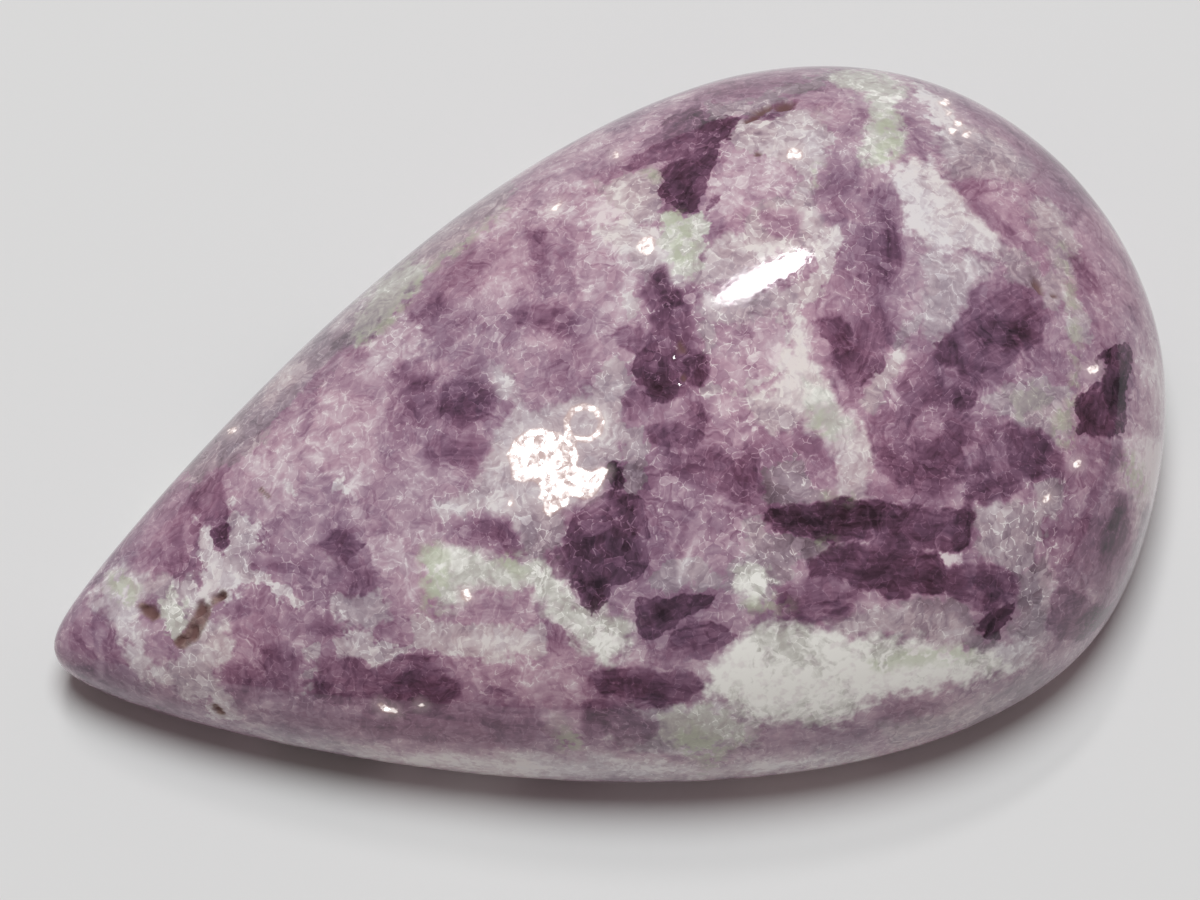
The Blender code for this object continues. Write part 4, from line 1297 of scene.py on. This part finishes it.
# straight-edged shards that the stone is crushed into: their pale edges, and how light and how warm
# each is, from -1 to 1
def smallShardsGroup():
    inputs = [("Place", "NodeSocketVector"), ("Size", number), ("Width", number)]
    outputs = [("Line", number), ("Shade", number), ("Warmth", number)]
    tree, given, result = openGroup("smallShards", "ShaderNodeTree", inputs, outputs)
    scale = calc(tree, "DIVIDE", 1.0, given["Size"])
    edge = tree.nodes.new("ShaderNodeTexVoronoi")
    edge.feature = "DISTANCE_TO_EDGE"
    body = tree.nodes.new("ShaderNodeTexVoronoi")
    for cells in (edge, body):
        feed(tree, cells.inputs["Vector"], given["Place"])
        feed(tree, cells.inputs["Scale"], scale)
    fromEdge = calc(tree, "DIVIDE", edge.outputs["Distance"], given["Width"])
    feed(tree, result["Line"], smooth(tree, fromEdge, 1.0, 0.0))
    red, green, _ = apart(tree, "ShaderNodeSeparateColor", body.outputs["Color"])
    feed(tree, result["Shade"], calc(tree, "MULTIPLY_ADD", red, 2.0, -1.0))
    feed(tree, result["Warmth"], calc(tree, "MULTIPLY_ADD", green, 2.0, -1.0))
    return tree


def stoneFinish():
    material = bpy.data.materials.new("polishedLepidolite")
    material.use_nodes = True
    tree = material.node_tree
    shader = tree.nodes["Principled BSDF"]
    wisps, border = curlyWispsGroup(), mineralBorderGroup()
    leaves, shards = leafEdgesGroup(), smallShardsGroup()

    def layer(name):
        node = tree.nodes.new("ShaderNodeAttribute")
        node.attribute_name = name
        return node.outputs["Fac"]

    def times(*values):
        total = values[0]
        for value in values[1:]:
            total = calc(tree, "MULTIPLY", total, value)
        return total

    def added(total, value, share):
        return calc(tree, "MULTIPLY_ADD", value, share, total)

    def bordered(kind, noisePart):
        soft = edgeSoft[kind] if kind in edgeSoft else layer(kind + "Soft")
        return useGroup(tree, border, Field=layer(kind + "Field"), Coarse=noisePart, Fine=fleck,
                        Ragged=raggedness[kind], Soft=soft)["Mask"]

    # millimetres, and the same bent a little so that no line is straight
    millimetres = tree.nodes.new("ShaderNodeMapping")
    millimetres.inputs["Scale"].default_value = (1 / mm,) * 3
    tree.links.new(tree.nodes.new("ShaderNodeTexCoord").outputs["Object"], millimetres.inputs["Vector"])
    place = millimetres.outputs[0]
    swirl = noise(tree, place, *grain["swirl"], output="Color")
    bent = vectorCalc(tree, "MULTIPLY_ADD", swirl, (1.0, 1.0, 1.0), place)
    nudged = vectorCalc(tree, "MULTIPLY_ADD", swirl, (0.5, 0.5, 0.5), place)

    # hairlines, shards and leaf edges
    fleck = noise(tree, place, *grain["fleck"])
    gap = noise(tree, shifted(tree, place, (7.3, 2.1, 5.7)), *grain["gap"])
    web = layer("web")
    hairline = useGroup(tree, wisps, Place=bent, Gap=gap, **hairlines)["Mask"]
    shardEdge, shard, shardWarmth = useGroup(tree, shards, Place=nudged, **crushedShards)
    shardEdge = times(shardEdge, smooth(tree, gap, 0.68, 0.46), smooth(tree, fleck, 0.49, 0.57))
    edges = useGroup(tree, leaves, Place=bent, **leafLines)
    leafPlace = tree.nodes.new("ShaderNodeCombineXYZ")
    for socket, name, stretch in zip(leafPlace.inputs, ("alongLeaf", "acrossLeaf"), leafStretch):
        feed(tree, socket, times(layer(name), stretch))
    streak = noise(tree, leafPlace.outputs[0], *grain["streak"])
    joints = smooth(tree, layer("joint"), 0.06, 0.01)

    # the borders of the minerals share three parts of one noise
    ragged = noise(tree, shifted(tree, place, (4, 4, 4)), *grain["ragged"], output="Color")
    partA, partB, partC = apart(tree, "ShaderNodeSeparateColor", ragged)
    plum = bordered("plum", partA)
    # painted shade: how near a point lies just outside a dark book
    shadowed = smooth(tree, layer("plumField"), -0.8, 0.15)
    blush = bordered("blush", partB)
    frost = bordered("frost", partC)
    albite = bordered("albite", partB)
    offPlum = calc(tree, "MULTIPLY_ADD", plum, -0.75, 1.0)
    green = times(bordered("green", partA), smooth(tree, partB, 0.40, 0.52), offPlum)
    stain = bordered("stain", partC)
    flashMask = bordered("flash", partA)

    # how light the mica is: its patch, clouds, flecks, and pale hairlines on it
    busy = calc(tree, "MULTIPLY_ADD", calc(tree, "SUBTRACT", fleck, 0.5), lightening["fleck"], layer("cloud"))
    busy = added(busy, edges["Shade"], lightening["leafShade"])
    busy = added(busy, edges["Line"], lightening["leafLine"])
    busy = added(busy, times(shard, web), lightening["shard"])
    hairs = times(hairline, lightening["hairline"])
    hairs = added(hairs, shardEdge, lightening["shardEdge"])
    hairs = added(hairs, smooth(tree, shard, 0.80, 0.92), lightening["paleShard"])
    hairs = times(hairs, web)
    hairs = added(hairs, joints, lightening["joint"])
    tone = mixNumber(tree, blush, mica["baseTone"], layer("blushTone"))
    tone = mixNumber(tree, times(frost, 0.9), tone, layer("frostTone"))
    # painted shade: darker just outside the dark books, where their dark shows through the translucent stone
    tone = added(tone, times(shadowed, calc(tree, "SUBTRACT", 1.0, plum)), lightening["shadeBesidePlum"])
    core = smooth(tree, layer("plumField"), 0.0, 0.7)
    plumTone = added(calc(tree, "ADD", layer("plumTone"), 0.04), core, lightening["plumCore"])
    tone = mixNumber(tree, plum, tone, plumTone)
    tone = added(tone, times(plum, calc(tree, "SUBTRACT", streak, 0.5)), lightening["plumStreak"])
    calm = calc(tree, "MULTIPLY_ADD", plum, -0.20, 1.0)
    tone = added(tone, calc(tree, "ADD", busy, hairs), calm)
    warmth = added(layer("warmth"), shardWarmth, 0.18)

    # the colours, one laid over the other
    coolMica, warmMica = steps(tree, tone, mica["coolSteps"]), steps(tree, tone, mica["warmSteps"])
    colour = mixColour(tree, warmth, coolMica, warmMica)
    room = calc(tree, "MULTIPLY_ADD", plum, -0.90, 1.0)
    coolFrost, warmFrost = steps(tree, tone, frostSteps["cool"]), steps(tree, tone, frostSteps["warm"])
    frostColour = mixColour(tree, warmth, coolFrost, warmFrost)
    colour = mixColour(tree, times(frost, room, covering["frost"]), colour, frostColour)
    chalk = calc(tree, "SUBTRACT", layer("albiteTone"), 0.02)
    chalk = added(added(chalk, busy, 0.9), hairs, 0.6)
    cover = mixNumber(tree, smooth(tree, partC, 0.34, 0.50), covering["albite"], 1.0)
    colour = mixColour(tree, times(albite, room, cover), colour, steps(tree, chalk, albiteSteps))
    colour = mixColour(tree, times(green, covering["green"]), colour, tint(*greenColour))
    colour = mixColour(tree, times(stain, covering["stain"]), colour, steps(tree, fleck, stainSteps))
    colour = mixColour(tree, times(layer("pitShare"), pitFace["cover"]), colour, tint(*pitColour))

    # flakes that lie square to the lamp's reflection; a near-white highlight, a glow around it and a
    # pinkish-orange fringe are also painted into their colour
    shine = times(flashMask, smooth(tree, added(fleck, shard, 0.12), 0.28, 0.56))
    halo = smooth(tree, layer("flashField"), -0.45, 0.05)
    fringe = times(smooth(tree, layer("flashField"), -0.08, 0.02), calc(tree, "SUBTRACT", 1.0, shine))
    colour = mixColour(tree, times(halo, glint["halo"]), colour, tint(*glowColour))
    colour = mixColour(tree, times(flashMask, glint["bed"]), colour, tint(*glowColour))
    colour = mixColour(tree, times(fringe, glint["fringe"]), colour, tint(*glintFringeColour))
    colour = mixColour(tree, times(shine, glint["cover"]), colour, tint(*flashColour))
    feed(tree, shader.inputs["Base Color"], colour)
    # painted highlight: the flakes glow with their own light, though they are no lamp
    feed(tree, shader.inputs["Emission Color"], mixColour(tree, shine, tint(0, 0, 0), tint(*flashColour)))
    shader.inputs["Emission Strength"].default_value = glint["glow"]

    # pits are dull, and frost takes less polish
    dull = smooth(tree, layer("pitShare"), 0.0, 0.04)
    specular = mixNumber(tree, dull, polish["specular"], pitFace["specular"])
    rough = mixNumber(tree, dull, polish["roughness"], pitFace["roughness"])
    feed(tree, shader.inputs["Specular IOR Level"], specular)
    feed(tree, shader.inputs["Roughness"], added(rough, frost, polish["frostRoughness"]))
    shader.inputs["IOR"].default_value = polish["refraction"]

    bump = tree.nodes.new("ShaderNodeBump")
    bump.inputs["Strength"].default_value = polish["ripple"]
    bump.inputs["Distance"].default_value = polish["rippleDepth"]
    feed(tree, bump.inputs["Height"], noise(tree, place, *grain["ripple"]))
    facing = tree.nodes.new("ShaderNodeMix")
    facing.data_type = "VECTOR"
    facing.name = "flakeFacing"
    feed(tree, facing.inputs["Factor"], shine)
    feed(tree, facing.inputs["A"], bump.outputs[0])
    tree.links.new(facing.outputs["Result"], shader.inputs["Normal"])
    return material


# the small lamp stands where the dome mirrors it at this pixel, as a narrow leaf of light;
# the wide one overhead gives most of the light, and isn't mirrored; sizes in metres, turns in degrees
lamp = dict(
    mirrorPixel=(772, 274), distance=1.1, long=0.232, short=0.078, turn=36,
    radiance=30, colour=(1.0, 0.99, 0.98),
)
softBox = dict(tilt=11.5, rightward=-0.05, distance=1.0, wide=0.42, radiance=15.8, colour=(0.95, 1.0, 1.0))
sky = dict(colour=(1.0, 0.80, 0.79), strength=0.18)
floor = dict(size=1.6, colour=(227, 227, 227), roughness=0.9, specular=0.1)


def aimLamp(points, normals):
    eye = cameraAxes()[3]
    across, down, _ = photoPixels(points)
    x, y = lamp["mirrorPixel"]
    near = np.argmin(np.where(aboveGirdle(points), np.hypot(across - x, down - y), np.inf))
    normal = Vector(normals[near])
    toEye = (Vector(eye) - Vector(points[near])).normalized()
    toLamp = (2 * toEye.dot(normal) * normal - toEye).normalized()
    return Vector(points[near]) + toLamp * lamp["distance"], toLamp


# an elliptical lamp that faces back along toLamp, its long side turned from the picture's right
def placeLamp(name, spot, toLamp, long, short, turn, radiance, colour):
    light = bpy.data.lights.new(name, "AREA")
    light.shape = "ELLIPSE"
    light.size, light.size_y = long, short
    light.energy = radiance * math.pi**2 * long * short / 4  # watts, for an even radiance over the ellipse
    light.color = colour
    holder = bpy.data.objects.new(name, light)
    right = Vector(cameraAxes()[0])
    flatRight = (right - right.dot(toLamp) * toLamp).normalized()
    flatUp = toLamp.cross(flatRight)
    longSide = flatRight * math.cos(math.radians(turn)) + flatUp * math.sin(math.radians(turn))
    facing = Matrix((longSide, toLamp.cross(longSide), toLamp)).transposed().to_4x4()
    holder.matrix_world = Matrix.Translation(spot) @ facing
    bpy.context.scene.collection.objects.link(holder)
    return holder


def placeLights(points, normals):
    spot, toLamp = aimLamp(points, normals)
    placeLamp("studioLamp", spot, toLamp, lamp["long"], lamp["short"], lamp["turn"],
              lamp["radiance"], lamp["colour"])
    right, up, _, _ = cameraAxes()
    away = Vector((*(up + softBox["rightward"] * right)[:2], 0)).normalized()
    tilt = math.radians(softBox["tilt"])
    toBox = Vector((0, 0, 1)) * math.cos(tilt) + away * math.sin(tilt)
    box = placeLamp("softBox", toBox * softBox["distance"], toBox, softBox["wide"], softBox["wide"], 0,
                    softBox["radiance"], softBox["colour"])
    box.visible_glossy = False
    return toLamp


def placeSky():
    world = bpy.data.worlds.new("softSky")
    world.use_nodes = True
    glow = world.node_tree.nodes["Background"]
    glow.inputs["Color"].default_value = (*sky["colour"], 1)
    glow.inputs["Strength"].default_value = sky["strength"]
    bpy.context.scene.world = world


def placeFloor():
    half = floor["size"] / 2
    mesh = bpy.data.meshes.new("studioFloor")
    corners = [(-half, -half, 0), (half, -half, 0), (half, half, 0), (-half, half, 0)]
    mesh.from_pydata(corners, [], [(0, 1, 2, 3)])
    material = bpy.data.materials.new("paleFloor")
    material.use_nodes = True
    shader = material.node_tree.nodes["Principled BSDF"]
    shader.inputs["Base Color"].default_value = tint(*floor["colour"])
    shader.inputs["Roughness"].default_value = floor["roughness"]
    shader.inputs["Specular IOR Level"].default_value = floor["specular"]
    mesh.materials.append(material)
    sheet = bpy.data.objects.new("studioFloor", mesh)
    bpy.context.scene.collection.objects.link(sheet)


def placeCamera():
    _, _, back, eye = cameraAxes()
    lens = bpy.data.cameras.new("photoCamera")
    lens.sensor_width = camera["sensor"]
    lens.lens = camera["focalPixels"] / camera["frameSize"][0] * camera["sensor"]
    lens.clip_start = 0.01
    holder = bpy.data.objects.new("photoCamera", lens)
    holder.location = eye
    holder.rotation_mode = "QUATERNION"
    holder.rotation_quaternion = Vector(back).to_track_quat("Z", "Y")
    bpy.context.scene.collection.objects.link(holder)
    bpy.context.scene.camera = holder


placeCamera()
placeSky()
placeFloor()
finish = stoneFinish()
drop = makeDrop(finish)
smoothNormals = shapeStone(drop)
toLamp = placeLights(readPoints(drop.data), smoothNormals)
halfway = (toLamp + Vector(cameraAxes()[2])).normalized()
finish.node_tree.nodes["flakeFacing"].inputs["B"].default_value = halfway
bpy.context.scene.view_settings.view_transform = "Standard"
print("lamp and camera set")

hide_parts("lepidolite_drop")
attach(drop, "root")
